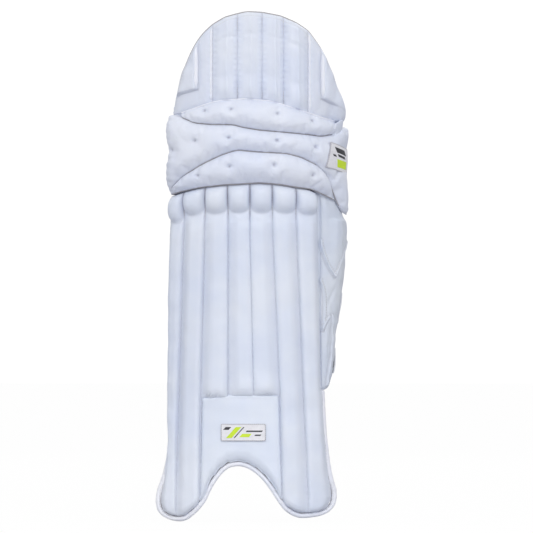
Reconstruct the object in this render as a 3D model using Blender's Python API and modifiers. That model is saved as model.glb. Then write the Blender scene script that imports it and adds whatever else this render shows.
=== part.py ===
"""Cricket batting leg pad for a left leg. Every piece is set out flat, then wrapped round the leg.

Frame: +Z up the leg, -Y the face that meets the ball, +Y the leg side, +X the outside of the leg.
"Left" is -X and "right" is +X. The origin is the centre of the shin cushion's flat leg-side face.

Dimensions are in millimetres from the pad's datum: under the feet, on the centre line, at the
front face of the backing board. A flat position is (p, z, t): p the distance round the leg from
the centre line, z the height over the feet, t the distance in front of the board.
form() turns it into x, y, z.
"""

import math
from collections import namedtuple

import bmesh
import bpy
import numpy as np
from mathutils import Matrix

MM = 0.001
DATUM = np.array([0.0, 26.0, 290.0])  # the origin, as seen from the datum

# ---------------------------------------------------------------- shared dimensions, mm
SHIN_TOP = 451.0             # top of the shin channels near the centre line
INSTEP_TOP = 168.0           # where the three middle channels end
SEAM_T = 5.0                 # height of the sewn seams over the board
CHANNEL_CROWN = 10.0         # how far a channel stands above its seams
SKIN = 1.6                   # cover sheet
GAP = 1.05                   # between a cover and its filling
BOARD = (-3.3, -0.4)         # backing board, back and front
LINING = (-14.0, -4.5)       # lining pad, back and front

# Knee folds
FLEX_DEG = 8.0               # travel of each fold
FLEX_MARGIN = 1.06
FOLD_CLEARANCE = 1.6         # gap between neighbours ahead of the hinge lines
HINGE_Y = 15.0               # the hinge lines lie just behind the lining
FOLD_Z = {"lower_knee_roll": 441.0, "middle_knee_roll": 478.0, "upper_knee_roll": 525.0,
          "top_hat": 552.0}

WING_HINGE = (95.0, 300.0, -4.0)  # p, z, t

# Straps: height, half width, lap over the wing, bulge of the loop round the calf
Strap = namedtuple("Strap", "z half_width lap bulge")
STRAPS = {"upper": Strap(352.0, 21.0, 24.0, 92.0), "calf": Strap(284.0, 21.0, 22.0, 88.0),
          "ankle": Strap(214.0, 17.0, 17.0, 74.0)}
STRAP_LIFT = 5.2             # height of a closed strap over the wing, with its fastening between
STRAP_HINGE_P, STRAP_HINGE_T = -124.0, -1.8
STRAP_HALF_THICKNESS = 1.2
LAP_STATIONS = (0.1, 0.3, 0.5, 0.7, 0.9)  # of the fastening, as fractions of the lap


def table(*points):
    """A dimension that changes along the pad, straight between the (station, value) pairs."""
    stations, values = zip(*points)
    return lambda s: np.interp(s, stations, values)


# ---------------------------------------------------------------- the leg form
# Degrees each side has turned away from the front at p = TURN_P, by z
TURN_P, TURN_POWER = 120.0, 1.6
TURN_LEFT = table((0, 36), (30, 38), (80, 52), (120, 58), (163, 60), (400, 60), (451, 57),
                  (520, 55), (560, 45), (680, 40))
TURN_RIGHT = table((0, 42), (80, 47), (163, 51), (300, 54), (400, 55), (451, 60), (520, 64),
                   (560, 50), (680, 40))
# y of the board on the centre line, by z
LEAN = table((0, -10), (80, -4), (150, 0), (400, 0), (451, -2), (530, -2), (570, 0), (680, 9))
# From SIDE_P out the right side is an arc of this radius, by z
SIDE_P = 93.0
WING_RADIUS = table((0, 90), (60, 80), (110, 50), (150, 30), (176, 20), (205, 33), (255, 48),
                    (290, 66), (330, 76), (375, 80), (451, 78), (560, 90), (680, 90))
CURL_DEG, CURL_RADIUS = 88, 40.0  # past this turn the wing's rear edge curls tighter
STEP = 1.0
ROUND = np.arange(-150.0, 260.0 + STEP, STEP)  # the p at which a section is worked out
_sections = {}


def section(z):
    """x, y and turn of the board's front face round the leg at one height."""
    z = round(float(z), 3)
    if z not in _sections:
        left, right = float(TURN_LEFT(z)), float(TURN_RIGHT(z))
        turn = np.where(ROUND < 0, -left, right) * (np.abs(ROUND) / TURN_P) ** TURN_POWER
        start = right * (SIDE_P / TURN_P) ** TURN_POWER
        radius = float(WING_RADIUS(z))
        curl_p = SIDE_P + radius * math.radians(CURL_DEG - start)
        arc = start + np.degrees((ROUND - SIDE_P) / radius)
        curl = CURL_DEG + np.degrees((ROUND - curl_p) / min(radius, CURL_RADIUS))
        turn = np.where(ROUND > SIDE_P, np.where(ROUND > curl_p, curl, arc), turn)
        turn = np.radians(turn)
        middle = (turn[1:] + turn[:-1]) / 2
        x = np.concatenate([[0], np.cumsum(np.cos(middle) * STEP)])
        y = np.concatenate([[0], np.cumsum(np.sin(middle) * STEP)])
        centre = int(np.argmin(np.abs(ROUND)))
        _sections[z] = (x - x[centre], y - y[centre] + float(LEAN(z)), turn)
    return _sections[z]


def form(p, z, t):
    """The wrapped position of a flat point."""
    x, y, turn = section(z)
    angle = np.interp(p, ROUND, turn)
    return (float(np.interp(p, ROUND, x) + t * math.sin(angle)),
            float(np.interp(p, ROUND, y) - t * math.cos(angle)), float(z))


def tangent(p, z):
    """Plan direction of the board's front face, toward greater p."""
    angle = float(np.interp(p, ROUND, section(z)[2]))
    return np.array([math.cos(angle), math.sin(angle)])


def round_leg(x, z):
    """The p that stands at x in the front elevation."""
    return float(np.interp(x, np.maximum.accumulate(section(z)[0]), ROUND))


def settle(height, z):
    """The z at which height(z) = z, from a near guess."""
    for _ in range(3):
        z = height(z)
    return z


def by_p(height_by_x):
    """Makes a front elevation curve z(x) readable by p."""
    return lambda p: settle(lambda z: float(height_by_x(form(p, z, 0)[0])), 500.0)


def fold_gap(p, z, folds):
    """Room above a neighbour that lets the folds between them close behind their hinge lines."""
    behind = max(0.0, form(p, z, LINING[0])[1] - HINGE_Y)
    return FOLD_CLEARANCE + folds * behind * math.tan(math.radians(FLEX_DEG)) * FLEX_MARGIN


# ---------------------------------------------------------------- scene, materials, pivots
for old in list(bpy.data.objects):
    bpy.data.objects.remove(old, do_unlink=True)
pad = bpy.data.collections.new("cricket_leg_pad")
bpy.context.scene.collection.children.link(pad)


def make_material(name, colour, roughness):
    material = bpy.data.materials.new(name)
    material.use_nodes = True
    shader = material.node_tree.nodes["Principled BSDF"]
    shader.inputs["Base Color"].default_value = (*colour, 1)
    shader.inputs["Roughness"].default_value = roughness
    return material


MATERIALS = {name: make_material(name, colour, roughness) for name, colour, roughness in (
    ("cover", (0.80, 0.82, 0.88), 0.42),
    ("lining", (0.83, 0.84, 0.86), 0.9),
    ("foam", (0.86, 0.84, 0.74), 0.95),
    ("cane", (0.70, 0.52, 0.28), 0.6),
    ("board", (0.62, 0.58, 0.50), 0.9),
    ("binding", (0.84, 0.85, 0.90), 0.4),
    ("badge", (0.74, 0.86, 0.05), 0.45),
    ("webbing", (0.82, 0.83, 0.86), 0.8),
    ("loop", (0.80, 0.80, 0.82), 0.98),
    ("hook", (0.75, 0.76, 0.78), 0.9),
)}


def pivot(name, point, parent=None):
    """An empty on a joint's axis, which carries the pieces of one moving body."""
    empty = bpy.data.objects.new(name, None)
    empty.empty_display_size = 0.02
    pad.objects.link(empty)
    here = (np.array(point) - DATUM) * MM
    empty["at"] = here.tolist()
    empty.parent = parent
    empty.location = here if parent is None else here - np.array(parent["at"])
    return empty


shin = pivot("shin_pivot", (0, 0, 0))
folds, below = {}, shin
for body_name, fold_z in FOLD_Z.items():
    below = folds[body_name] = pivot(f"{body_name}_pivot", (0, HINGE_Y, fold_z), below)
wing = pivot("side_wing_pivot", form(*WING_HINGE), shin)
strap_pivots = {
    name: pivot(f"{name}_strap_pivot", form(STRAP_HINGE_P, strap.z, STRAP_HINGE_T), shin)
    for name, strap in STRAPS.items()}


# ---------------------------------------------------------------- making pieces
def attach(name, data, body, material):
    """Makes an object of a mesh or curve and hangs it on its body's pivot."""
    data.materials.append(MATERIALS[material])
    obj = bpy.data.objects.new(name, data)
    pad.objects.link(obj)
    obj.parent = body
    return obj


def solid(name, body, material, columns, rows, point):
    """A gridded slab; point(i, j, side) gives x, y, z in mm, with side 0 behind and 1 in front."""
    bm = bmesh.new()
    bmesh.ops.create_grid(bm, x_segments=columns, y_segments=rows, size=0.5)
    for v in bm.verts:
        v.co = (round((v.co.x + 0.5) * columns), round((v.co.y + 0.5) * rows), 0)
    grown = bmesh.ops.extrude_face_region(bm, geom=bm.faces[:])
    lifted = [item for item in grown["geom"] if isinstance(item, bmesh.types.BMVert)]
    bmesh.ops.translate(bm, verts=lifted, vec=(0, 0, 1))

    at = np.array(body["at"])
    for v in bm.verts:
        v.co = point(round(v.co.x), round(v.co.y), round(v.co.z))
        v.co = (np.array(v.co) - DATUM) * MM - at
    bmesh.ops.recalc_face_normals(bm, faces=bm.faces)
    if bm.calc_volume(signed=True) < 0:
        bmesh.ops.reverse_faces(bm, faces=bm.faces)
    mesh = bpy.data.meshes.new(name)
    bm.to_mesh(mesh)
    bm.free()
    mesh.shade_smooth()
    mesh.set_sharp_from_angle(angle=math.radians(40))
    attach(name, mesh, body, material)


def sheet(name, body, material, columns, rows, place, back, front):
    """place(i, j) gives (p, z); back and front give t, as numbers or functions of (i, j)."""
    def point(i, j, side):
        level = front if side else back
        return form(*place(i, j), level(i, j) if callable(level) else level)
    solid(name, body, material, columns, rows, point)


def panel(name, body, material, xs, low, high, back, front, rows=(0, 0.5, 1)):
    """A sheet between the front elevation curves z = low(x) and z = high(x)."""
    def place(i, j):
        x = xs[i]
        z = low(x) + rows[j] * (high(x) - low(x))
        return round_leg(x, z), z
    sheet(name, body, material, len(xs) - 1, len(rows) - 1, place, back, front)


def tube(name, material, radius, resolution, stations):
    """A round roll on the shin through stations of (x, y, z) and relative size."""
    curve = bpy.data.curves.new(name, "CURVE")
    curve.dimensions = "3D"
    spline = curve.splines.new("POLY")
    spline.points.add(len(stations) - 1)
    for spline_point, (position, size) in zip(spline.points, stations):
        spline_point.co = (*(np.array(position) * MM), 1)
        spline_point.radius = size
    curve.bevel_depth = radius * MM
    curve.bevel_resolution = resolution
    curve.use_fill_caps = True
    attach(name, curve, shin, material)


# ---------------------------------------------------------------- shin: outlines
# Side edges of the front, x by z
EDGE_LEFT = table((7, -114), (13, -118), (25, -121), (35, -121), (56, -116), (74, -112),
                  (100, -107), (163, -104.5), (434, -104.5))
EDGE_RIGHT = table((9, 98), (21, 107), (32, 110.5), (45, 109), (56, 107), (74, 104),
                   (100, 100.5), (150, 98))
EDGE_RIGHT_TOP = 155      # above this the right edge follows SEAM_OUTER
SEAM_OUTER = table((150, 98), (160, 97.5), (172, 90), (388, 88.5), (451, 87.5))
# Seams between the channels, left to right: x at each of the four heights
SEAM_Z = (30, 163, 388, SHIN_TOP)
SEAMS = [table(*zip(SEAM_Z, xs)) for xs in (
    (-97.4, -93, -86.5, -88), (-67, -64.4, -59, -59.3), (-29, -28.9, -28.5, -29.7),
    (5, 5, 0, 0), (43.4, 39.8, 30, 29.3), (77, 70.1, 61, 60.7))]
# The feet and the instep arch, (x, z)
BOTTOM_EDGE = (
    (-126, 25), (-124, 14.5), (-118, 7), (-107, 2), (-95, 0), (-84, 2), (-70, 13.5),
    (-59, 26.8), (-50, 46.6), (-39.4, 62.5), (-28.7, 72.3), (-15.4, 75), (-4, 72.3),
    (8.6, 64.3), (19.3, 53.5), (28, 41.3), (37.3, 26.6), (46, 15), (57, 8), (65.7, 5.3),
    (78, 6.3), (92.5, 8.9), (103, 12.5), (112, 21.4), (115.6, 32))
BOTTOM_Z = table(*BOTTOM_EDGE)
# Top of the shin channels, z by x
SHIN_TOP_EDGE = table((-106, 433), (-89, 439), (-64, 445), (-33.5, 448.4), (-5, 450),
                      (12, SHIN_TOP), (38, 449), (60, 445), (77, 443), (89, 437))


def bottom(x, inset):
    """The feet and the instep arch, moved in by inset along the slope's normal."""
    slope = (BOTTOM_Z(x + 2) - BOTTOM_Z(x - 2)) / 4
    return float(BOTTOM_Z(x)) + inset * math.sqrt(1 + min(abs(slope), 2.5) ** 2)


# ---------------------------------------------------------------- shin: channels and canes
# Across a channel runs from -1 at its left seam to 1 at its right
ACROSS = (-1.0, -0.72, -0.3, 0.3, 0.72)
CHANNEL_SHAPE = table((-1, 0), (-0.72, 0.78), (-0.3, 1), (0.3, 1), (0.72, 0.78), (1, 0))
CHANNELS = 7
MIDDLE_CHANNELS = (2, 3, 4)   # these stop above the instep
INSTEP_ROW = 4                # last row of the shin cover on the instep
INSTEP_T = 3.0                # cover height under the instep panel
TOP_OFFSETS = (50, 42, 14, 5, 0)  # last rows, below the top edge
# Share of the crown at each row, from the feet to the knuckles under the knee
ROW_HEIGHT = (0.25, 0.85, 1, 1, 1, 1, 1, 1, 1.6, 1.6, 1.0, 0.2)
LAST_FILLED_ROW = 10
LAST_CANE_ROW = 9
BOLSTER_BACK = SEAM_T + 0.4
CANE_ACROSS = (-0.5, -0.3, 0.3, 0.5)
CANE_BACK = 1.3
CANE_FRONT = (3.8, 4.7, 4.7, 3.8)


def channel_x(channel, across, z):
    outer = EDGE_RIGHT(z) if z < EDGE_RIGHT_TOP else SEAM_OUTER(z)
    edges = [EDGE_LEFT(z), *(seam(z) for seam in SEAMS), outer]
    left, right = edges[channel:channel + 2]
    return left + (across + 1) / 2 * (right - left)


def shin_row(x, j):
    """Height of row j: feet, instep edge, straight run, then the knuckles under the knee."""
    low, top = bottom(x, 8.2), float(SHIN_TOP_EDGE(x))
    instep = INSTEP_TOP - 4
    rows = [low, low + 5, low + (instep - low) * 0.35, low + (instep - low) * 0.7,
            instep, INSTEP_TOP + 4, 290, *(top - offset for offset in TOP_OFFSETS)]
    return rows[j]


def shin_place(channel, across, j):
    """(p, z) of row j. The seams lean, so x is found again at each height."""
    z = settle(lambda z: shin_row(channel_x(channel, across, z), j), 300.0)
    return round_leg(channel_x(channel, across, z), z), z


def shin_front(channel, across, j):
    height = ROW_HEIGHT[j]
    if channel in MIDDLE_CHANNELS:
        at_left_seam = (channel, across) == (MIDDLE_CHANNELS[0], ACROSS[0])
        if j <= INSTEP_ROW and not at_left_seam:
            return INSTEP_T
        if j == INSTEP_ROW + 1:
            height = 0.8
    return SEAM_T + CHANNEL_CROWN * float(CHANNEL_SHAPE(across)) * height


def shin_cover():
    columns = [(channel, across) for channel in range(CHANNELS) for across in ACROSS]
    columns.append((CHANNELS - 1, 1.0))
    sheet("shin_cover", shin, "cover", len(columns) - 1, len(ROW_HEIGHT) - 1,
          lambda i, j: shin_place(*columns[i], j),
          lambda i, j: shin_front(*columns[i], j) - SKIN,
          lambda i, j: shin_front(*columns[i], j))


def shin_bolster(channel):
    """The filling of one channel."""
    first = INSTEP_ROW + 1 if channel in MIDDLE_CHANNELS else 1
    inner = ACROSS[1:]
    sheet(f"shin_bolster_{channel + 1}", shin, "foam", len(inner) - 1, LAST_FILLED_ROW - first,
          lambda i, j: shin_place(channel, inner[i], first + j),
          BOLSTER_BACK,
          lambda i, j: shin_front(channel, inner[i], first + j) - SKIN - GAP)


def cane(channel):
    """The flat cane between the board and one bolster."""
    first = INSTEP_ROW + 1 if channel in MIDDLE_CHANNELS else 2
    sheet(f"cane_{channel + 1}", shin, "cane", len(CANE_ACROSS) - 1, LAST_CANE_ROW - first,
          lambda i, j: shin_place(channel, CANE_ACROSS[i], first + j),
          CANE_BACK, lambda i, j: CANE_FRONT[i])


shin_cover()
for channel in range(CHANNELS):
    shin_bolster(channel)
    cane(channel)

# ---------------------------------------------------------------- shin: board, lining, instep
BOARD_X = [-94, -84, -70, -59, -50, -39, -28, -15, -4, 9, 19, 28, 37, 46, 57, 70, 84]
BOARD_ROWS = (0, 0.12, 0.3, 0.55, 0.8, 1)
INSTEP_X = [-60, -50, -39, -28, -15, -4, 9, 19, 28, 35]
FRONT_BADGE_X = [-38.6, -24, -9, 6, 21]
FRONT_BADGE_Z = (107.5, 130.5)

panel("backing_board", shin, "board", BOARD_X, lambda x: bottom(x, 10.5),
      lambda x: SHIN_TOP_EDGE(x) - 6, *BOARD, rows=BOARD_ROWS)
panel("shin_lining", shin, "lining", [-102, *BOARD_X], lambda x: bottom(x, 7.4),
      lambda x: SHIN_TOP_EDGE(x) - 4, *LINING, rows=BOARD_ROWS)
# A padded plain panel over the arch
panel("instep_foam", shin, "foam", INSTEP_X, lambda x: bottom(x, 9.5),
      lambda x: INSTEP_TOP - 6, back=4.2, front=9.0)
panel("instep_panel", shin, "cover", INSTEP_X, lambda x: bottom(x, 8.5),
      lambda x: INSTEP_TOP - 4, back=9.6, front=11.2)
panel("front_badge", shin, "badge", FRONT_BADGE_X, lambda x: FRONT_BADGE_Z[0],
      lambda x: FRONT_BADGE_Z[1], back=12.0, front=13.0, rows=(0, 1))

# ---------------------------------------------------------------- shin: binding and leg side
BINDING_RADIUS, BINDING_T = 3.2, 0.8
# (x, z) along the left edge, the feet and arch, and the right edge
BINDING_OUTLINE = [(-114.5, 84), (-117, 74), (-120.5, 56), (-125.5, 38), *BOTTOM_EDGE,
                   (114.5, 45), (112, 56), (109.5, 70)]
CUSHION_SIZE = (64.0, 9.5, 180.0)
INNER_BOLSTERS = {"left": -80.0, "right": 74.0}  # p
INNER_BOLSTER_RADIUS = 9.5
INNER_BOLSTER_T = LINING[0] - 10.4
# z and relative size along an inner bolster
INNER_BOLSTER_STATIONS = ((186, 0.35), (190, 0.8), (198, 1), (260, 1), (320, 1), (384, 1),
                          (396, 0.8), (400, 0.35))


def bottom_binding():
    """Rolled binding round the feet and the arch, set outside the outline by its radius."""
    stations = []
    last = len(BINDING_OUTLINE) - 1
    for k, (x, z) in enumerate(BINDING_OUTLINE):
        before, after = BINDING_OUTLINE[max(k - 1, 0)], BINDING_OUTLINE[min(k + 1, last)]
        run = np.array([after[0] - before[0], after[1] - before[1]], float)
        run /= np.linalg.norm(run)
        x, z = x + run[1] * -BINDING_RADIUS, z + run[0] * BINDING_RADIUS
        stations.append((form(round_leg(x, z), z, BINDING_T), 1))
    tube("bottom_binding", "binding", BINDING_RADIUS, 1, stations)


def shin_cushion():
    """The flat cushion down the middle; its leg-side face holds the origin."""
    size = np.array(CUSHION_SIZE) * MM
    centre = DATUM * MM - (0, size[1] / 2, 0)
    bm = bmesh.new()
    bmesh.ops.create_cube(bm, size=1,
                          matrix=Matrix.Translation(centre) @ Matrix.Diagonal((*size, 1)))
    mesh = bpy.data.meshes.new("shin_cushion")
    bm.to_mesh(mesh)
    bm.free()
    cushion = attach("shin_cushion", mesh, shin, "lining")
    rounding = cushion.modifiers.new("rounding", "BEVEL")
    rounding.width = 3 * MM
    rounding.segments = 2
    rounding.limit_method = "NONE"


def inner_bolster(side, p):
    """A firm roll that cradles one side of the leg."""
    stations = [(form(p, z, INNER_BOLSTER_T), size) for z, size in INNER_BOLSTER_STATIONS]
    tube(f"{side}_inner_bolster", "lining", INNER_BOLSTER_RADIUS, 2, stations)


bottom_binding()
shin_cushion()
for side, p in INNER_BOLSTERS.items():
    inner_bolster(side, p)

# ---------------------------------------------------------------- side wing, outside of the leg
WING_FRONT_P, WING_BOTTOM = 97, 176
WING_TOP = table((97, 424), (120, 415), (150, 403), (188, 392))         # z by p
WING_REAR = table((176, 116), (205, 139), (255, 166), (290, 180), (330, 190), (375, 196),
                  (395, 194))                                           # p by z
WING_COLUMNS = (0, 0.08, 0.22, 0.38, 0.54, 0.7, 0.86, 1)
WING_ROWS = (0, 0.12, 0.3, 0.5, 0.7, 0.86, 1)
WING_T = table((97, 3), (104, 7.5), (128, 7.5), (150, 3.5), (190, 3.5))  # cover front, by p
WING_FOAM_INSET = 1.0


def wing_place(i, j, inset=0.0):
    """(p, z); each edge depends on the other coordinate, so the two are found in turn."""
    z = 300.0
    front, low = WING_FRONT_P + inset, WING_BOTTOM + inset
    for _ in range(4):
        p = front + WING_COLUMNS[i] * (float(WING_REAR(z)) - inset - front)
        z = low + WING_ROWS[j] * (float(WING_TOP(p)) - inset - low)
    return p, z


def wing_front(i, j, inset=0.0):
    return float(WING_T(wing_place(i, j, inset)[0]))


def wing_sheet(name, material, place, back, front):
    sheet(name, wing, material, len(WING_COLUMNS) - 1, len(WING_ROWS) - 1, place, back, front)


wing_sheet("wing_cover", "cover", wing_place, lambda i, j: wing_front(i, j) - 1.5, wing_front)
wing_sheet("wing_foam", "foam", lambda i, j: wing_place(i, j, WING_FOAM_INSET), -2.6,
           lambda i, j: min(wing_front(i, j, WING_FOAM_INSET), wing_front(i, j)) - 2.3)
wing_sheet("wing_lining", "lining", wing_place, -6.0, -3.1)

# ---------------------------------------------------------------- straps
ANCHOR_P = (-122.4, -115.0)
HOOK = (-2.7, -1.75)          # under the strap's middle, low and high
HOOK_MARGIN = 3               # between the edges of hook and strap
LOOP = (1.5, 2.2)             # over the wing cover's front, back and front
STRAP_AWAY = np.array([0.05, 0.9987])  # plan direction in which a strap leaves its hinge
# Along a strap: 0 to 1 round the calf, 1 to 2 lapped on the wing
STRAP_STATIONS = [0, 0.03, 0.1, *(0.18 + 0.72 * k / 9 for k in range(10)), 0.96, 1.0001,
                  *(1 + station for station in LAP_STATIONS), 2.0]


def strap_rear(z):
    """The p at which a strap meets the wing's rear edge."""
    return float(WING_REAR(z)) - 2


def strap_point(strap, s, z, offset):
    """A point at station s along a strap, moved outward by offset."""
    rear = strap_rear(z)
    if s > 1:
        p = rear - (s - 1) * strap.lap
        return form(p, z, float(WING_T(p)) + STRAP_LIFT + offset)
    # A cubic Bezier in plan from the hinge to the wing
    hinge = np.array(form(STRAP_HINGE_P, z, STRAP_HINGE_T)[:2])
    start = hinge + STRAP_AWAY * 1.7
    end = np.array(form(rear, z, float(WING_T(rear)) + STRAP_LIFT)[:2])
    handle_1 = start + STRAP_AWAY * strap.bulge
    handle_2 = end + tangent(rear, z) * strap.bulge * 0.8
    at = ((1 - s) ** 3 * start + 3 * (1 - s) ** 2 * s * handle_1
          + 3 * (1 - s) * s * s * handle_2 + s ** 3 * end)
    run = (3 * (1 - s) ** 2 * (handle_1 - start) + 6 * (1 - s) * s * (handle_2 - handle_1)
           + 3 * s * s * (end - handle_2))
    run /= np.linalg.norm(run)
    return (*(at + offset * np.array([-run[1], run[0]])), z)


def ribbon(name, piece, material, stations, low, high, margin=0):
    """A band along a strap's path, between two offsets, narrowed by margin at each edge."""
    strap = STRAPS[name]
    half = strap.half_width - margin
    solid(piece, strap_pivots[name], material, len(stations) - 1, 2,
          lambda i, j, side: strap_point(strap, stations[i], strap.z + half * (j - 1),
                                         high if side else low))


def strap_anchor(name, strap):
    edges = (strap.z - strap.half_width, strap.z + strap.half_width)
    sheet(f"{name}_strap_anchor", shin, "webbing", 1, 1, lambda i, j: (ANCHOR_P[i], edges[j]),
          STRAP_HINGE_T - STRAP_HALF_THICKNESS, STRAP_HINGE_T + STRAP_HALF_THICKNESS)


def loop_patch(name, strap):
    """The half of the fastening on the wing."""
    def place(i, j):
        z = strap.z + strap.half_width * (j - 1)
        return strap_rear(z) - LAP_STATIONS[i] * strap.lap, z

    sheet(f"{name}_loop_patch", wing, "loop", len(LAP_STATIONS) - 1, 2, place,
          lambda i, j: float(WING_T(place(i, j)[0])) + LOOP[0],
          lambda i, j: float(WING_T(place(i, j)[0])) + LOOP[1])


for name, strap in STRAPS.items():
    strap_anchor(name, strap)
    ribbon(name, f"{name}_strap", "webbing", STRAP_STATIONS,
           -STRAP_HALF_THICKNESS, STRAP_HALF_THICKNESS)
    ribbon(name, f"{name}_strap_hook", "hook", [1 + station for station in LAP_STATIONS],
           *HOOK, HOOK_MARGIN)
    loop_patch(name, strap)

# ---------------------------------------------------------------- knee rolls
# Edges in the front elevation, z by x
LOWER_TOP = table((-106, 434), (-100, 442.5), (-81, 461), (-55.5, 478), (-35, 488.4),
                  (-16.5, 494.7), (4, 492.5), (46, 490), (63, 485), (80, 475.6), (94, 463),
                  (106, 442.5))
UPPER_TOP = table((-88, 544), (-55.5, 556), (-38.6, 561), (-5, 563), (29, 559.6),
                  (63, 548.5), (90, 538.4), (119, 530))
# Edges of the middle roll, z by p
MIDDLE_BOTTOM = table(
    (-112, 434), (-104, 442.5), (-83, 461), (-56, 478), (-35, 488.4), (-16.5, 494.7),
    (4, 492.5), (46, 490), (64, 485), (83, 475.6), (99, 462), (107, 447), (115, 434),
    (124, 421), (136, 412), (154, 409))
MIDDLE_TOP = table(
    (-112, 541), (-96, 543), (-91, 540), (-70, 531), (-50, 528.7), (-22, 528.2), (-11, 525),
    (12, 521), (38, 518.6), (65, 516.3), (92, 513.3), (112, 517), (130, 526), (160, 528))
# Columns of each roll, p
LOWER_P = [-93, -84, -72, -58, -42, -24, -6, 12, 30, 48, 64, 78, 90]
MIDDLE_P = [-112, -104, -94, -80, -64, -46, -26, -6, 14, 34, 54, 72, 90, 108, 124, 140, 154]
UPPER_P = [-86, -78, -64, -48, -30, -12, 8, 28, 48, 68, 86, 102, 114]
ROLL_ROWS = (0, 0.1, 0.3, 0.5, 0.7, 0.9, 1)
ROLL_SHAPE = (0, 0.6, 0.93, 1, 0.93, 0.6, 0)   # share of the crown at each row
ROLL_LINING_ROWS = (0, 2, 4, 6)
ROLL_EDGE = 6.0
ROLL_BACK = -3.4
ROLL_LINING_BACK = -13.5
# The outer end of the middle roll is a flap that slides over the top of the wing
FLAP_P = 106
FLAP_EDGE = table((86, ROLL_EDGE), (104, 15.5))
FLAP_BACK = 9.8
MIDDLE_GAP_Z = 470
SIDE_BADGE_P, SIDE_BADGE_Z = (92, 108, 124, 140), (478, 512)


def roll(name, ps, low, high, crown, lining_to,
         edge=lambda p: ROLL_EDGE, back=lambda p, z: ROLL_BACK):
    """One stuffed roll across the knee: its cover, its filling and the lining behind it."""
    body = folds[name]
    columns, rows = len(ps) - 1, len(ROLL_ROWS) - 1

    def place(i, j):
        start = low(ps[i])
        return ps[i], start + ROLL_ROWS[j] * (high(ps[i]) - start)

    def front(i, j):
        fullness = min(1.0, 3.2 * min(i, columns - i) / columns + 0.25)
        base = float(edge(ps[i]))
        return base + (crown - base) * fullness * ROLL_SHAPE[j]

    sheet(f"{name}_cover", body, "cover", columns, rows, place,
          lambda i, j: front(i, j) - SKIN, front)
    sheet(f"{name}_foam", body, "foam", columns, rows, place,
          lambda i, j: back(*place(i, j)), lambda i, j: front(i, j) - SKIN - GAP)
    inner = [k for k, p in enumerate(ps) if lining_to[0] <= p <= lining_to[1]]
    sheet(f"{name}_lining", body, "lining", len(inner) - 1, len(ROLL_LINING_ROWS) - 1,
          lambda i, j: place(inner[i], ROLL_LINING_ROWS[j]), ROLL_LINING_BACK, LINING[1])


def middle_low(p):
    if p > FLAP_P:
        return float(MIDDLE_BOTTOM(p))
    return float(MIDDLE_BOTTOM(p)) + fold_gap(p, MIDDLE_GAP_Z, 2 if p < -93 else 1)


def middle_back(p, z):
    """The flap's back stands clear of the wing."""
    return FLAP_BACK if p > 100 and z < 455 else ROLL_BACK


shin_top, lower_top, upper_top = by_p(SHIN_TOP_EDGE), by_p(LOWER_TOP), by_p(UPPER_TOP)
roll("lower_knee_roll", LOWER_P,
     lambda p: shin_top(p) + fold_gap(p, FOLD_Z["lower_knee_roll"], 1), lower_top,
     crown=23.0, lining_to=(-86, 86))
roll("middle_knee_roll", MIDDLE_P, middle_low, lambda p: float(MIDDLE_TOP(p)) - 1.0,
     crown=25.0, lining_to=(-105, 92), edge=FLAP_EDGE, back=middle_back)
roll("upper_knee_roll", UPPER_P,
     lambda p: float(MIDDLE_TOP(p)) + fold_gap(p, FOLD_Z["upper_knee_roll"], 1),
     lambda p: upper_top(p) - 0.5, crown=22.0, lining_to=(-75, 95))
sheet("side_badge", folds["middle_knee_roll"], "badge", 3, 1,
      lambda i, j: (SIDE_BADGE_P[i], SIDE_BADGE_Z[j]), back=26.2, front=27.2)

# ---------------------------------------------------------------- top hat
# Its domed top edge, z by x
HAT_DOME = table(
    (-100, 546), (-98, 562), (-94, 588), (-91, 599), (-86, 609), (-82, 619), (-76, 631),
    (-70, 641), (-62, 651), (-50, 662), (-33.5, 671.7), (-16.5, 676.3), (-5, 679), (16, 678),
    (41, 673.3), (62, 664.5), (75, 654.5), (83, 643), (91, 630), (98, 619), (103, 606),
    (108, 597), (113, 584), (118, 566), (121, 556), (124, 540))
HAT_SEAMS = (-49.6, -16.5, 16.1, 44.6, 77.0)  # x of the seams beside the four channels
HAT_CHANNELS = list(zip(HAT_SEAMS, HAT_SEAMS[1:]))
HAT_EDGE_T, HAT_CHANNEL_T = 4, 14
HAT_FOAM_BACK = 0.3
HAT_ROWS = (0, 0.08, 0.3, 0.6, 0.92, 1)
HAT_ROW_HEIGHT = (0.4, 1, 1, 1, 0.9, 0.3)
HAT_PANEL_ROWS = (0, 0.35, 0.7, 1)
HAT_BOARD_X = [-93, -80, -64, -46, -24, 0, 24, 46, 66, 86, 102, 112]
HAT_LINING_X = [-97, -88, -76, -62, -44, -22, 0, 22, 44, 66, 84, 98, 110, 117]
HAT_LINING_BACK = -11.0
SIDE_PAD_X = {"left": [-93, -80, -74], "right": [98.5, 104, 113]}
SIDE_PAD_ROWS = (0.45, 0.7, 0.9)
SIDE_PAD_FRONT = 4.2
hat = folds["top_hat"]


def hat_low(x):
    """Bottom edge, over the upper roll and, at the sides, over the ends of the middle roll."""
    beyond = x < -84 or x > 104

    def height(z):
        p = round_leg(x, z)
        neighbour = max(float(UPPER_TOP(x)), float(MIDDLE_TOP(p)) if beyond else 0)
        return neighbour + fold_gap(p, FOLD_Z["top_hat"], 2 if beyond else 1)
    return settle(height, 545.0)


def hat_sheet(name, material, xs, rows, back, front):
    panel(name, hat, material, xs, hat_low, lambda x: float(HAT_DOME(x)), back, front, rows)


def hat_level(height, j):
    return HAT_EDGE_T + (height - HAT_EDGE_T) * HAT_ROW_HEIGHT[j]


def channel_walls(left, right):
    """The two x at which a channel reaches its full height."""
    return [left + (right - left) * 0.2, left + (right - left) * 0.8]


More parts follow.
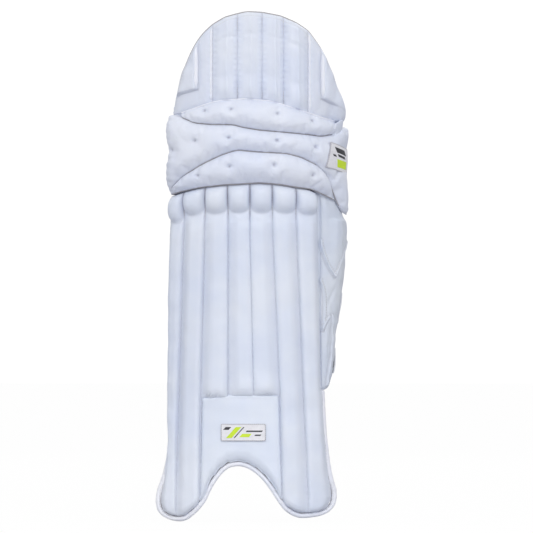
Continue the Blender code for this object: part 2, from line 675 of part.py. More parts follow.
def top_hat_cover():
    columns = [(-98, HAT_EDGE_T), (-93, 8), (-80, 9), (-68.3, SEAM_T), (HAT_SEAMS[0], SEAM_T)]
    for left, right in HAT_CHANNELS:
        columns += [(x, HAT_CHANNEL_T) for x in channel_walls(left, right)]
        columns.append((right, SEAM_T))
    columns += [(93.8, SEAM_T), (104, 9), (113, 8), (118.5, HAT_EDGE_T)]
    xs, heights = zip(*columns)
    hat_sheet("top_hat_cover", "cover", xs, HAT_ROWS,
              lambda i, j: hat_level(heights[i], j) - SKIN,
              lambda i, j: hat_level(heights[i], j))


top_hat_cover()
for k, seams in enumerate(HAT_CHANNELS):
    hat_sheet(f"top_hat_bolster_{k + 1}", "foam", channel_walls(*seams), HAT_ROWS[1:5],
              HAT_FOAM_BACK, lambda i, j: hat_level(HAT_CHANNEL_T, j + 1) - SKIN - GAP)
for side, xs in SIDE_PAD_X.items():
    hat_sheet(f"top_hat_{side}_side_pad", "foam", xs, SIDE_PAD_ROWS,
              HAT_FOAM_BACK, SIDE_PAD_FRONT)
panel("top_hat_board", hat, "board", HAT_BOARD_X, lambda x: hat_low(x) + 3,
      lambda x: float(HAT_DOME(x)) - 4, *BOARD, rows=HAT_PANEL_ROWS)
panel("top_hat_lining", hat, "lining", HAT_LINING_X, lambda x: hat_low(x) + 0.5,
      lambda x: float(HAT_DOME(x)) - 1, HAT_LINING_BACK, LINING[1], rows=HAT_PANEL_ROWS)
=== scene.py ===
"""Cricket batting leg pad: the looks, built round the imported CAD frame.

The soft pieces are made as on the real pad: each is a sheet set out flat as (p, z, t), where p is the distance round the
leg from the centre line, z the height over the feet and t the height over the backing board, then wrapped on the leg
form. Flat sizes are in millimetres; objects are in metres in the row frame.
"""

import math

import bmesh
import bpy
import numpy as np
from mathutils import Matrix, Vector


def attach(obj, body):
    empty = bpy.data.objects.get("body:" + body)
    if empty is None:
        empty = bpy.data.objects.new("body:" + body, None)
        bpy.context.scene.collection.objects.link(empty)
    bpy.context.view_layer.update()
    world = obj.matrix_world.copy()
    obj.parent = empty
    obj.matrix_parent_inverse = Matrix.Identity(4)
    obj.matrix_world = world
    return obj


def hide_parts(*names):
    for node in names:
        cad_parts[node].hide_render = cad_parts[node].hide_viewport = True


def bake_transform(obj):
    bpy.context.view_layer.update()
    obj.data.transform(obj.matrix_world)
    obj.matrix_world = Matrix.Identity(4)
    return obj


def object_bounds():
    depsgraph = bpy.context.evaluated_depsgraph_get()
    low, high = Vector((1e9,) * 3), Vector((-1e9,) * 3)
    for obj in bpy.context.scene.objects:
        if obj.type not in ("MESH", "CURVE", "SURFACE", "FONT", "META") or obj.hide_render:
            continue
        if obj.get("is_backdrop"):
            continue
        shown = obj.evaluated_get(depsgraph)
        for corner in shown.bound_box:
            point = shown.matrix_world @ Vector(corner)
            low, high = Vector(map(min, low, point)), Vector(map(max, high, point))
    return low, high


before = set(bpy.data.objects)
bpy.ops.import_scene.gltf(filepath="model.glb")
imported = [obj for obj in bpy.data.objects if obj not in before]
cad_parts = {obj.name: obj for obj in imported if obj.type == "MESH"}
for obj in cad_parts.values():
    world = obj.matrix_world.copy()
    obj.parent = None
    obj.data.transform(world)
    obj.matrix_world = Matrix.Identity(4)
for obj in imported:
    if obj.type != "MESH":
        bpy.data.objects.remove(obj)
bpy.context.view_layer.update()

MM = 0.001
DATUM = np.array([0.0, 26.0, 290.0])


def table(*points):
    a, b = zip(*points)
    return lambda s: np.interp(s, a, b)


def eased(*points, ease=4.0):
    """A table whose corners are eased over the given distance."""
    a, b = zip(*points)
    grid = np.arange(a[0] - 20.0, a[-1] + 20.5, 0.5)
    value = np.interp(grid, a, b)
    value = np.where(grid < a[0], b[0] + (grid - a[0]) * (b[1] - b[0]) / (a[1] - a[0]), value)
    value = np.where(grid > a[-1], b[-1] + (grid - a[-1]) * (b[-1] - b[-2]) / (a[-1] - a[-2]), value)
    k = np.arange(-3 * ease, 3 * ease + 0.5, 0.5)
    kernel = np.exp(-(k / ease) ** 2)
    kernel /= kernel.sum()
    soft = np.convolve(np.pad(value, len(k) // 2, mode="reflect", reflect_type="odd"), kernel, mode="valid")
    return lambda s: np.interp(s, grid, soft)


# ------------------------------------------------------------------ the leg form, as in the CAD
TURN_LEFT = table((0, 36), (30, 38), (80, 52), (120, 58), (163, 60), (400, 60), (451, 57), (520, 55), (560, 45), (680, 40))
TURN_RIGHT = table((0, 42), (80, 47), (163, 51), (300, 54), (400, 55), (451, 60), (520, 64), (560, 50), (680, 40))
LEAN = table((0, -10), (80, -4), (150, 0), (400, 0), (451, -2), (530, -2), (570, 0), (680, 9))
WING_R = table((0, 90), (60, 80), (110, 50), (150, 30), (176, 20), (205, 33), (255, 48), (290, 66), (330, 76), (375, 80), (451, 78), (560, 90), (680, 90))
WING_CURL_R = 40.0
SIDE_P = 93.0

EDGE_LEFT = table((7, -112), (13, -115), (25, -118.5), (35, -118.5), (56, -113.6), (82, -109.6), (109, -106.8), (136, -107.6), (155, -108.7), (300, -108.7), (360, -107), (434, -105))
EDGE_RIGHT = table((9, 95), (21, 104), (32, 108), (45, 107.5), (56, 105), (82, 101.6), (109, 99.5), (136, 97.4), (155, 96.5))
BOTTOM_EDGE = ((-126, 25), (-124, 14.5), (-118, 7), (-107, 2), (-95, 0), (-84, 2), (-70, 13.5), (-59, 26.8), (-50, 46.6),
               (-39.4, 62.5), (-28.7, 72.3), (-15.4, 75), (-4, 72.3), (8.6, 64.3), (19.3, 53.5), (28, 41.3), (37.3, 26.6),
               (46, 15), (57, 8), (65.7, 5.3), (78, 6.3), (92.5, 8.9), (103, 12.5), (112, 21.4), (115.6, 32))
SEAMS = [table((30, a), (163, b), (388, c), (451, d)) for a, b, c, d in (
    (-97.4, -93, -86.5, -88), (-67, -64.4, -59, -59.3), (-29, -28.9, -28.5, -29.7), (5, 5, 0, 0),
    (43.4, 39.8, 30, 29.3), (77, 70.1, 61, 60.7))]
SEAM_OUTER = table((150, 97), (167, 96.6), (175.5, 94.6), (230, 93.6), (300, 91.5), (388, 89.5), (451, 87.5))
SHIN_TOP_EDGE = eased((-106, 433), (-89, 439), (-64, 445), (-33.5, 448.4), (-5, 450), (12, 451), (38, 449), (60, 445), (77, 443), (89, 437))
LOWER_TOP = eased((-106, 434), (-100, 442.5), (-81, 461), (-55.5, 478), (-35, 488.4), (-16.5, 494.7), (4, 492.5), (46, 490), (63, 485), (80, 475.6), (94, 463), (106, 442.5), (112, 426))
LOWER_BOTTOM = eased((-106, 433), (-89, 439), (-64, 445), (-33.5, 448.4), (-5, 450), (12, 451), (38, 449), (60, 445), (77, 443), (89, 437), (111, 425))
MIDDLE_BOTTOM_P = eased((-112, 434), (-104, 442.5), (-83, 461), (-56, 478), (-35, 488.4), (-16.5, 494.7), (4, 492.5), (46, 490), (64, 485), (83, 475.6), (99, 462), (107, 447), (115, 434), (124, 421), (136, 412), (154, 409))
MIDDLE_TOP_P = eased((-112, 541), (-96, 543), (-91, 540), (-70, 531), (-50, 528.7), (-22, 528.2), (-11, 525), (12, 521), (38, 518.6), (65, 516.3), (92, 513.3), (112, 517), (130, 526), (160, 528))
UPPER_TOP = eased((-88, 544), (-55.5, 556), (-38.6, 561), (-5, 563), (29, 559.6), (63, 548.5), (90, 538.4), (119, 530))
HAT_DOME = table((-103, 541), (-99.5, 562), (-94, 588), (-91, 599), (-86, 609), (-82, 619), (-76, 631), (-70, 641), (-62, 651), (-50, 662), (-33.5, 671.7), (-16.5, 676.3), (-5, 679), (16, 678), (41, 673.3), (62, 664.5), (77.5, 654.5), (86.5, 643), (95.5, 630.8), (102, 619), (107.5, 606), (111.5, 597), (115.8, 584), (120.3, 566), (122.8, 556), (126, 545.6), (127.7, 533))
WING_TOP_P = eased((97, 424), (120, 415), (150, 403), (188, 392))
WING_REAR_P = eased((176, 116), (205, 139), (255, 166), (290, 180), (330, 190), (375, 196), (395, 194))

P0, P1, DZ = -170.0, 260.0, 2.0
PS = np.arange(P0, P1 + 0.5, 1.0)
ZS = np.arange(-20.0, 700.1, DZ)


def _make_form():
    xs, ys, turns = [], [], []
    zero = int(np.argmin(np.abs(PS)))
    for z in ZS:
        left, right = float(TURN_LEFT(z)), float(TURN_RIGHT(z))
        turn = np.where(PS < 0, -left, right) * (np.abs(PS) / 120.0) ** 1.6
        start = right * (SIDE_P / 120.0) ** 1.6
        radius = float(WING_R(z))
        p88 = SIDE_P + radius * math.radians(88 - start)
        arc = start + np.degrees((PS - SIDE_P) / radius)
        curl = 88 + np.degrees((PS - p88) / min(radius, WING_CURL_R))
        turn = np.where(PS > SIDE_P, np.where(PS > p88, curl, arc), turn)
        turn = np.radians(turn)
        mid = (turn[1:] + turn[:-1]) / 2
        x = np.concatenate([[0], np.cumsum(np.cos(mid))])
        y = np.concatenate([[0], np.cumsum(np.sin(mid))])
        xs.append(x - x[zero])
        ys.append(y - y[zero] + float(LEAN(z)))
        turns.append(turn)
    return np.array(xs), np.array(ys), np.array(turns)


FX, FY, FA = _make_form()


def _look(grid, p, z):
    a = np.clip((np.asarray(z, float) - ZS[0]) / DZ, 0, len(ZS) - 1.001)
    b = np.clip(np.asarray(p, float) - PS[0], 0, len(PS) - 1.001)
    i, j = a.astype(int), b.astype(int)
    f, g = a - i, b - j
    return (grid[i, j] * (1 - f) * (1 - g) + grid[i + 1, j] * f * (1 - g) + grid[i, j + 1] * (1 - f) * g + grid[i + 1, j + 1] * f * g)


def form(p, z, t):
    """Row frame position, in metres, of flat points given in mm."""
    p, z, t = np.broadcast_arrays(np.asarray(p, float), np.asarray(z, float), np.asarray(t, float))
    a = _look(FA, p, z)
    out = np.stack([_look(FX, p, z) + t * np.sin(a), _look(FY, p, z) - t * np.cos(a), z], -1)
    return (out - DATUM) * MM


def outward(p, z):
    a = _look(FA, p, z)
    return np.stack([np.sin(a), -np.cos(a), np.zeros_like(a)], -1)


def round_leg(x, z, t=0.0):
    """The p whose surface at height t stands at x in the front elevation, for arrays."""
    x, z, t = np.broadcast_arrays(np.asarray(x, float), np.asarray(z, float), np.asarray(t, float))
    p = x.copy()
    for _ in range(30):
        a = _look(FA, p, z)
        p = np.clip(p + (x - _look(FX, p, z) - t * np.sin(a)) / np.maximum(np.cos(a), 0.3) * 0.85, -160, 200)
    return p


def at_p(by_x):
    """A front elevation curve z(x), read by p."""
    grid = np.arange(-160.0, 200.0, 1.0)
    z = np.full(len(grid), 480.0)
    for _ in range(6):
        z = by_x(_look(FX, grid, z))
    return lambda p: np.interp(p, grid, z)


def bottom(x, inset):
    xs, zs = zip(*BOTTOM_EDGE)
    slope = (np.interp(x + 2, xs, zs) - np.interp(x - 2, xs, zs)) / 4
    return np.interp(x, xs, zs) + inset * np.sqrt(1 + np.minimum(np.abs(slope), 2.5) ** 2)


def smooth(a, b, v):
    t = np.clip((np.asarray(v, float) - a) / (b - a), 0, 1)
    return t * t * (3 - 2 * t)


def noise2(p, z, scale, seed):
    """Smooth noise in -1 to 1 over the flat sheet: a few crossed sines with seeded phases."""
    rng = np.random.default_rng(seed)
    total = np.zeros(np.broadcast(p, z).shape)
    for k in range(7):
        angle, freq, phase = rng.uniform(0, math.pi), rng.uniform(0.6, 1.6) / scale, rng.uniform(0, 2 * math.pi)
        total = total + np.sin(2 * math.pi * freq * (p * math.cos(angle) + z * math.sin(angle)) + phase
                               + 1.3 * math.sin(k) * np.sin(2 * math.pi * freq * 0.6 * (p * math.sin(angle) - z * math.cos(angle))))
    return total / 4.0


# ------------------------------------------------------------------ materials
def new_material(name):
    m = bpy.data.materials.new(name)
    m.use_nodes = True
    nt = m.node_tree
    nt.nodes.clear()
    out = nt.nodes.new("ShaderNodeOutputMaterial")
    bsdf = nt.nodes.new("ShaderNodeBsdfPrincipled")
    nt.links.new(bsdf.outputs[0], out.inputs[0])
    return m, nt, bsdf


def link(nt, a, b):
    nt.links.new(a, b)


def node(nt, kind, **values):
    n = nt.nodes.new(kind)
    for key, value in values.items():
        setattr(n, key, value)
    return n


def mix_colour(nt, factor, a, b):
    m = node(nt, "ShaderNodeMix", data_type="RGBA")
    for socket, value in ((m.inputs[0], factor), (m.inputs[6], a), (m.inputs[7], b)):
        if hasattr(value, "links") or isinstance(value, bpy.types.NodeSocket):
            link(nt, value, socket)
        elif isinstance(value, tuple):
            socket.default_value = (*value, 1) if len(value) == 3 else value
        else:
            socket.default_value = value
    return m.outputs[2]


def noise_node(nt, coords, scale, detail=3.0, rough=0.5, stretch=None):
    if stretch:
        mp = node(nt, "ShaderNodeMapping")
        mp.inputs["Scale"].default_value = stretch
        link(nt, coords, mp.inputs[0])
        coords = mp.outputs[0]
    n = node(nt, "ShaderNodeTexNoise")
    n.inputs["Scale"].default_value = scale
    n.inputs["Detail"].default_value = detail
    n.inputs["Roughness"].default_value = rough
    link(nt, coords, n.inputs["Vector"])
    return n.outputs["Fac"]


def ramp(nt, value, a, b, lo=0.0, hi=1.0):
    m = node(nt, "ShaderNodeMapRange")
    m.inputs[1].default_value, m.inputs[2].default_value = a, b
    m.inputs[3].default_value, m.inputs[4].default_value = lo, hi
    link(nt, value, m.inputs[0])
    return m.outputs[0]


def math_node(nt, op, a, b=None):
    m = node(nt, "ShaderNodeMath", operation=op)
    for socket, value in ((m.inputs[0], a), (m.inputs[1], b)):
        if value is None:
            continue
        if isinstance(value, bpy.types.NodeSocket):
            link(nt, value, socket)
        else:
            socket.default_value = value
    return m.outputs[0]


def bump(nt, height, strength, distance, before=None):
    b = node(nt, "ShaderNodeBump")
    b.inputs["Strength"].default_value = strength
    b.inputs["Distance"].default_value = distance
    link(nt, height, b.inputs["Height"])
    if before is not None:
        link(nt, before, b.inputs["Normal"])
    return b.outputs[0]


def pu_leather(name, colour, dark=(0.30, 0.28, 0.33), roughness=0.42, grain=1.0):
    """Coated PU: fine pebbled grain, faint clouding, soft creasing, and painted shade in the seams, broken up by a fine
    speckle.
    """
    m, nt, s = new_material(name)
    co = node(nt, "ShaderNodeTexCoord").outputs["Object"]
    cloud = noise_node(nt, co, 14.0, 3.0, 0.55)
    patch = noise_node(nt, co, 45.0, 2.0, 0.5)
    cool = tuple(c * f for c, f in zip(colour, (0.955, 0.965, 1.0)))
    warm = tuple(min(1, c * f) for c, f in zip(colour, (1.035, 1.025, 1.012)))
    base = mix_colour(nt, ramp(nt, cloud, 0.36, 0.64), cool, warm)
    base = mix_colour(nt, ramp(nt, patch, 0.62, 0.8, 0, 0.10), base, tuple(c * 0.90 for c in colour))
    # painted shade: the seam and crease attribute darkens the colour towards the dark tone, broken up by a fine
    # speckle; the same mask also roughens the seams
    groove_shade = node(nt, "ShaderNodeAttribute", attribute_name="groove_shade").outputs["Fac"]
    speck = noise_node(nt, co, 700.0, 2.0, 0.6)
    seam_shade = math_node(nt, "MULTIPLY", groove_shade, ramp(nt, speck, 0.3, 0.7, 0.75, 1.0))
    base = mix_colour(nt, seam_shade, base, dark)
    link(nt, base, s.inputs["Base Color"])
    cells = node(nt, "ShaderNodeTexVoronoi", feature="SMOOTH_F1")
    cells.inputs["Scale"].default_value = 900.0
    cells.inputs["Smoothness"].default_value = 0.6
    link(nt, co, cells.inputs["Vector"])
    fine = noise_node(nt, co, 1600.0, 2.0, 0.6)
    creases = noise_node(nt, co, 95.0, 4.0, 0.62)
    rough = math_node(nt, "ADD", ramp(nt, patch, 0.3, 0.7, roughness - 0.05, roughness + 0.06), math_node(nt, "MULTIPLY", seam_shade, 0.35))
    link(nt, rough, s.inputs["Roughness"])
    n = bump(nt, creases, 0.22 * grain, 0.0012)
    n = bump(nt, cells.outputs["Distance"], 0.25 * grain, 0.00022, n)
    n = bump(nt, fine, 0.12 * grain, 0.00012, n)
    link(nt, n, s.inputs["Normal"])
    s.inputs["Specular IOR Level"].default_value = 0.42
    s.inputs["Coat Weight"].default_value = 0.14
    s.inputs["Coat Roughness"].default_value = 0.30
    s.inputs["Subsurface Weight"].default_value = 0.04
    s.inputs["Subsurface Radius"].default_value = (0.004, 0.004, 0.005)
    return m


def woven(name, colour, pitch=0.0011, dark=0.72, roughness=0.9, fuzz=0.4, twill=False):
    """Woven cloth: crossed threads at the given pitch in metres, lint and slight unevenness."""
    m, nt, s = new_material(name)
    co = node(nt, "ShaderNodeTexCoord").outputs["Object"]
    xyz = node(nt, "ShaderNodeSeparateXYZ")
    link(nt, co, xyz.inputs[0])
    k = 2 * math.pi / pitch
    side = math_node(nt, "ADD", xyz.outputs[0], xyz.outputs[1])
    if twill:
        side = math_node(nt, "ADD", side, math_node(nt, "MULTIPLY", xyz.outputs[2], 0.7))
    warp = math_node(nt, "SINE", math_node(nt, "MULTIPLY", side, k))
    weft = math_node(nt, "SINE", math_node(nt, "MULTIPLY", xyz.outputs[2], k))
    weave = math_node(nt, "MULTIPLY", warp, weft)
    level = ramp(nt, weave, -1, 1)
    cloud = noise_node(nt, co, 30.0, 3.0, 0.6)
    lint = noise_node(nt, co, 900.0, 3.0, 0.7)
    low = tuple(c * dark for c in colour)
    base = mix_colour(nt, ramp(nt, weave, -1, 0.6, 0.0, 1.0), low, colour)
    base = mix_colour(nt, ramp(nt, cloud, 0.35, 0.7, 0.0, 0.16), base, tuple(c * 0.82 for c in colour))
    base = mix_colour(nt, ramp(nt, lint, 0.6, 0.85, 0.0, 0.35), base, tuple(min(1, c * 1.15) for c in colour))
    # painted shade: the seam and crease attribute darkens the cloth in its seams and quilting channels
    groove_shade = node(nt, "ShaderNodeAttribute", attribute_name="groove_shade").outputs["Fac"]
    base = mix_colour(nt, groove_shade, base, tuple(c * 0.42 for c in colour))
    link(nt, base, s.inputs["Base Color"])
    s.inputs["Roughness"].default_value = roughness
    s.inputs["Sheen Weight"].default_value = fuzz
    s.inputs["Sheen Roughness"].default_value = 0.5
    n = bump(nt, level, 0.5, 0.0003)
    n = bump(nt, lint, 0.3, 0.0003, n)
    link(nt, n, s.inputs["Normal"])
    return m


def towelling(name, colour):
    """Brushed pile lining: loops of short pile, clouded by handling."""
    m, nt, s = new_material(name)
    co = node(nt, "ShaderNodeTexCoord").outputs["Object"]
    loops = node(nt, "ShaderNodeTexVoronoi", feature="F1")
    loops.inputs["Scale"].default_value = 620.0
    link(nt, co, loops.inputs["Vector"])
    cloud = noise_node(nt, co, 22.0, 4.0, 0.6)
    fibre = noise_node(nt, co, 1500.0, 2.0, 0.7)
    base = mix_colour(nt, ramp(nt, loops.outputs["Distance"], 0.05, 0.7), colour, tuple(c * 0.74 for c in colour))
    base = mix_colour(nt, ramp(nt, cloud, 0.4, 0.72, 0, 0.3), base, tuple(c * f for c, f in zip(colour, (0.90, 0.89, 0.86))))
    # painted shade: the seam and crease attribute darkens the lining in its channels and along its rims
    groove_shade = node(nt, "ShaderNodeAttribute", attribute_name="groove_shade").outputs["Fac"]
    base = mix_colour(nt, groove_shade, base, tuple(c * 0.45 for c in colour))
    link(nt, base, s.inputs["Base Color"])
    s.inputs["Roughness"].default_value = 0.96
    s.inputs["Sheen Weight"].default_value = 0.6
    s.inputs["Sheen Roughness"].default_value = 0.45
    n = bump(nt, ramp(nt, loops.outputs["Distance"], 0, 0.8, 1, 0), 0.6, 0.0007)
    n = bump(nt, fibre, 0.4, 0.0004, n)
    link(nt, n, s.inputs["Normal"])
    return m


def cane_wood(name):
    m, nt, s = new_material(name)
    co = node(nt, "ShaderNodeTexCoord").outputs["Object"]
    fibre = noise_node(nt, co, 60.0, 5.0, 0.65, (14, 14, 0.6))
    knots = noise_node(nt, co, 9.0, 2.0, 0.5, (1, 1, 5))
    base = mix_colour(nt, ramp(nt, fibre, 0.3, 0.7), (0.42, 0.26, 0.10), (0.72, 0.54, 0.29))
    base = mix_colour(nt, ramp(nt, knots, 0.64, 0.72, 0, 0.6), base, (0.25, 0.15, 0.06))
    link(nt, base, s.inputs["Base Color"])
    link(nt, ramp(nt, fibre, 0.2, 0.8, 0.5, 0.75), s.inputs["Roughness"])
    link(nt, bump(nt, fibre, 0.5, 0.0006), s.inputs["Normal"])
    return m


def fibre_board(name):
    m, nt, s = new_material(name)
    co = node(nt, "ShaderNodeTexCoord").outputs["Object"]
    flecks = noise_node(nt, co, 260.0, 5.0, 0.75)
    cloud = noise_node(nt, co, 25.0, 3.0, 0.5)
    base = mix_colour(nt, ramp(nt, flecks, 0.35, 0.68), (0.36, 0.32, 0.25), (0.66, 0.61, 0.51))
    base = mix_colour(nt, ramp(nt, cloud, 0.4, 0.7, 0, 0.3), base, (0.48, 0.45, 0.40))
    link(nt, base, s.inputs["Base Color"])
    s.inputs["Roughness"].default_value = 0.92
    link(nt, bump(nt, flecks, 0.5, 0.0005), s.inputs["Normal"])
    return m


def thread(name, colour):
    m, nt, s = new_material(name)
    co = node(nt, "ShaderNodeTexCoord").outputs["Object"]
    twist = noise_node(nt, co, 2600.0, 2.0, 0.6)
    link(nt, mix_colour(nt, ramp(nt, twist, 0.3, 0.7), tuple(c * 0.78 for c in colour), colour), s.inputs["Base Color"])
    s.inputs["Roughness"].default_value = 0.55
    s.inputs["Sheen Weight"].default_value = 0.3
    link(nt, bump(nt, twist, 0.4, 0.0002), s.inputs["Normal"])
    return m


def printed(name, colour, roughness=0.35):
    """Printed or moulded badge film: slight mottling and scuffs."""
    m, nt, s = new_material(name)
    co = node(nt, "ShaderNodeTexCoord").outputs["Object"]
    mottle = noise_node(nt, co, 220.0, 3.0, 0.6)
    scuff = noise_node(nt, co, 120.0, 6.0, 0.75, (1, 1, 4))
    base = mix_colour(nt, ramp(nt, mottle, 0.3, 0.7), tuple(c * 0.93 for c in colour), tuple(min(1, c * 1.04) for c in colour))
    base = mix_colour(nt, ramp(nt, scuff, 0.66, 0.8, 0, 0.25), base, tuple(c * 0.8 + 0.12 for c in colour))
    link(nt, base, s.inputs["Base Color"])
    link(nt, ramp(nt, scuff, 0.3, 0.75, roughness, roughness + 0.2), s.inputs["Roughness"])
    link(nt, bump(nt, mottle, 0.2, 0.0002), s.inputs["Normal"])
    return m


def pile(name, colour, scale, strength):
    """Hook or loop tape."""
    m, nt, s = new_material(name)
    co = node(nt, "ShaderNodeTexCoord").outputs["Object"]
    tufts = node(nt, "ShaderNodeTexVoronoi", feature="F1")
    tufts.inputs["Scale"].default_value = scale
    link(nt, co, tufts.inputs["Vector"])
    fibre = noise_node(nt, co, scale * 2.2, 3.0, 0.7)
    base = mix_colour(nt, ramp(nt, tufts.outputs["Distance"], 0.1, 0.7), colour, tuple(c * 0.55 for c in colour))
    base = mix_colour(nt, ramp(nt, fibre, 0.4, 0.8, 0, 0.4), base, tuple(min(1, c * 1.2) for c in colour))
    link(nt, base, s.inputs["Base Color"])
    s.inputs["Roughness"].default_value = 0.95
    s.inputs["Sheen Weight"].default_value = 0.5
    link(nt, bump(nt, tufts.outputs["Distance"], strength, 0.0006), s.inputs["Normal"])
    return m


WHITE = (0.735, 0.785, 0.885)
MAT = {
    "cover": pu_leather("pad_cover_pu", WHITE),
    "roll": pu_leather("knee_roll_pu", (0.745, 0.785, 0.885), grain=1.1),
    "hat": pu_leather("top_hat_pu", (0.74, 0.785, 0.885)),
    "instep": pu_leather("instep_pu", (0.745, 0.80, 0.90), grain=0.8),
    "wing": pu_leather("wing_pu", (0.68, 0.73, 0.82)),
    "binding": pu_leather("binding_pu", (0.86, 0.88, 0.95), roughness=0.38, grain=0.7),
    "piping": pu_leather("edge_piping_pu", (0.36, 0.345, 0.36), dark=(0.2, 0.18, 0.2), roughness=0.5, grain=0.6),
    "lining": towelling("towelling_lining", (0.80, 0.81, 0.83)),
    "cushion": woven("cushion_cotton", (0.82, 0.83, 0.86), 0.0030, 0.88),
    "bolster": woven("bolster_cotton", (0.80, 0.81, 0.85), 0.0028, 0.88),
    "webbing": woven("strap_webbing", (0.84, 0.86, 0.90), 0.0034, 0.90, 0.8, 0.3, True),
    "cane": cane_wood("cane_slat"),
    "board": fibre_board("backing_board"),
    "thread": thread("white_thread", (0.82, 0.83, 0.87)),
    "thread_grey": thread("grey_thread", (0.45, 0.44, 0.47)),
    "hook": pile("hook_tape", (0.66, 0.67, 0.70), 900.0, 0.9),
    "loop": pile("loop_tape", (0.74, 0.75, 0.78), 500.0, 0.7),
    "patch_white": printed("badge_white", (0.80, 0.80, 0.84)),
    "patch_grey": printed("badge_grey_border", (0.50, 0.50, 0.55)),
    "patch_lime": printed("badge_lime", (0.60, 0.80, 0.015)),
    "patch_black": printed("badge_black", (0.022, 0.022, 0.030)),
}


# ------------------------------------------------------------------ mesh tools
def mesh_object(name, verts, faces, mat, groove_shade=None, smooth_shade=True):
    me = bpy.data.meshes.new(name)
    verts = np.asarray(verts, np.float32).reshape(-1, 3)
    faces = np.asarray(faces, np.int32)
    k = faces.shape[1]
    me.vertices.add(len(verts))
    me.vertices.foreach_set("co", verts.ravel())
    me.loops.add(faces.size)
    me.loops.foreach_set("vertex_index", faces.ravel())
    me.polygons.add(len(faces))
    me.polygons.foreach_set("loop_start", np.arange(0, faces.size, k, dtype=np.int32))
    me.polygons.foreach_set("loop_total", np.full(len(faces), k, dtype=np.int32))
    me.update(calc_edges=True)
    me.validate()
    if smooth_shade:
        me.shade_smooth()
    if groove_shade is not None:
        # painted shade: a per-point amount of darkening in seams, creases and hollows, which the materials mix into
        # their colour
        attribute = me.attributes.new("groove_shade", "FLOAT", "POINT")
        attribute.data.foreach_set("value", np.asarray(groove_shade, np.float32).ravel())
    me.materials.append(mat)
    ob = bpy.data.objects.new(name, me)
    bpy.context.scene.collection.objects.link(ob)
    return ob


def grid_faces(m, n):
    i, j = np.meshgrid(np.arange(m - 1), np.arange(n - 1), indexing="ij")
    a = (i * n + j).ravel()
    return np.stack([a, a + 1, a + n + 1, a + n], -1)


def grid_rim(m, n):
    return np.concatenate([np.arange(n - 1), np.arange(m - 1) * n + n - 1, (m - 1) * n + np.arange(n - 1, 0, -1), np.arange(m - 1, 0, -1) * n])


def grid_normals(pts):
    du = np.gradient(pts, axis=1)
    dv = np.gradient(pts, axis=0)
    nrm = np.cross(du, dv)
    return nrm / np.maximum(np.linalg.norm(nrm, axis=-1, keepdims=True), 1e-12)


def closed_sheet(name, front, back, mat, groove_shade=None):
    """A closed skin from two grids of points, joined round their rims."""
    m, n = front.shape[:2]
    f = grid_faces(m, n)
    rim = grid_rim(m, n)
    nxt = np.roll(rim, -1)
    side = np.stack([nxt, rim, rim + m * n, nxt + m * n], -1)
    faces = np.concatenate([f, f[:, ::-1] + m * n, side])
    g = None if groove_shade is None else np.concatenate([groove_shade.ravel(), np.zeros(m * n)])
    return mesh_object(name, np.concatenate([front.reshape(-1, 3), back.reshape(-1, 3)]), faces, mat, g)


def pad_rings(A, rings, flare_fn=None):
    return np.pad(A, rings, mode="edge")


def shell(name, Pm, Zm, Tm, mat, rim=-4.3, rings=4, flare=0.3, thick=1.3, groove_shade=None, low=None):
    """A padded cover: the given front, turned down all round to the level of its seam, with the sheet's thickness."""
    m, n = Pm.shape
    K = rings
    Pp, Zp, Tp = (np.pad(A, K, mode="edge") for A in (Pm, Zm, Tm))
    level = np.full((m, n), float(rim)) if low is None else np.asarray(low, float)
    Lp = np.pad(level, K, mode="edge")
    i = np.arange(m + 2 * K)[:, None]
    j = np.arange(n + 2 * K)[None, :]
    di = np.maximum(K - i, 0) + np.maximum(i - (m + K - 1), 0)
    dj = np.maximum(K - j, 0) + np.maximum(j - (n + K - 1), 0)
    r = np.maximum(di, dj) / K
    bow = np.sin(r * math.pi * 0.62) * flare * K / 2
    sign_i = np.where(i < K, -1, np.where(i > m + K - 1, 1, 0))
    sign_j = np.where(j < K, -1, np.where(j > n + K - 1, 1, 0))
    Pp = Pp + sign_j * bow * (dj > 0)
    Zp = Zp + sign_i * bow * (di > 0)
    Tp = Tp * (1 - r) + Lp * r
    front = form(Pp, Zp, Tp)
    nrm = grid_normals(front)
    back = front - nrm * thick * MM
    g = None
    if groove_shade is not None:
        g = np.pad(groove_shade, K, mode="edge")
    return closed_sheet(name, front, back, mat, g)


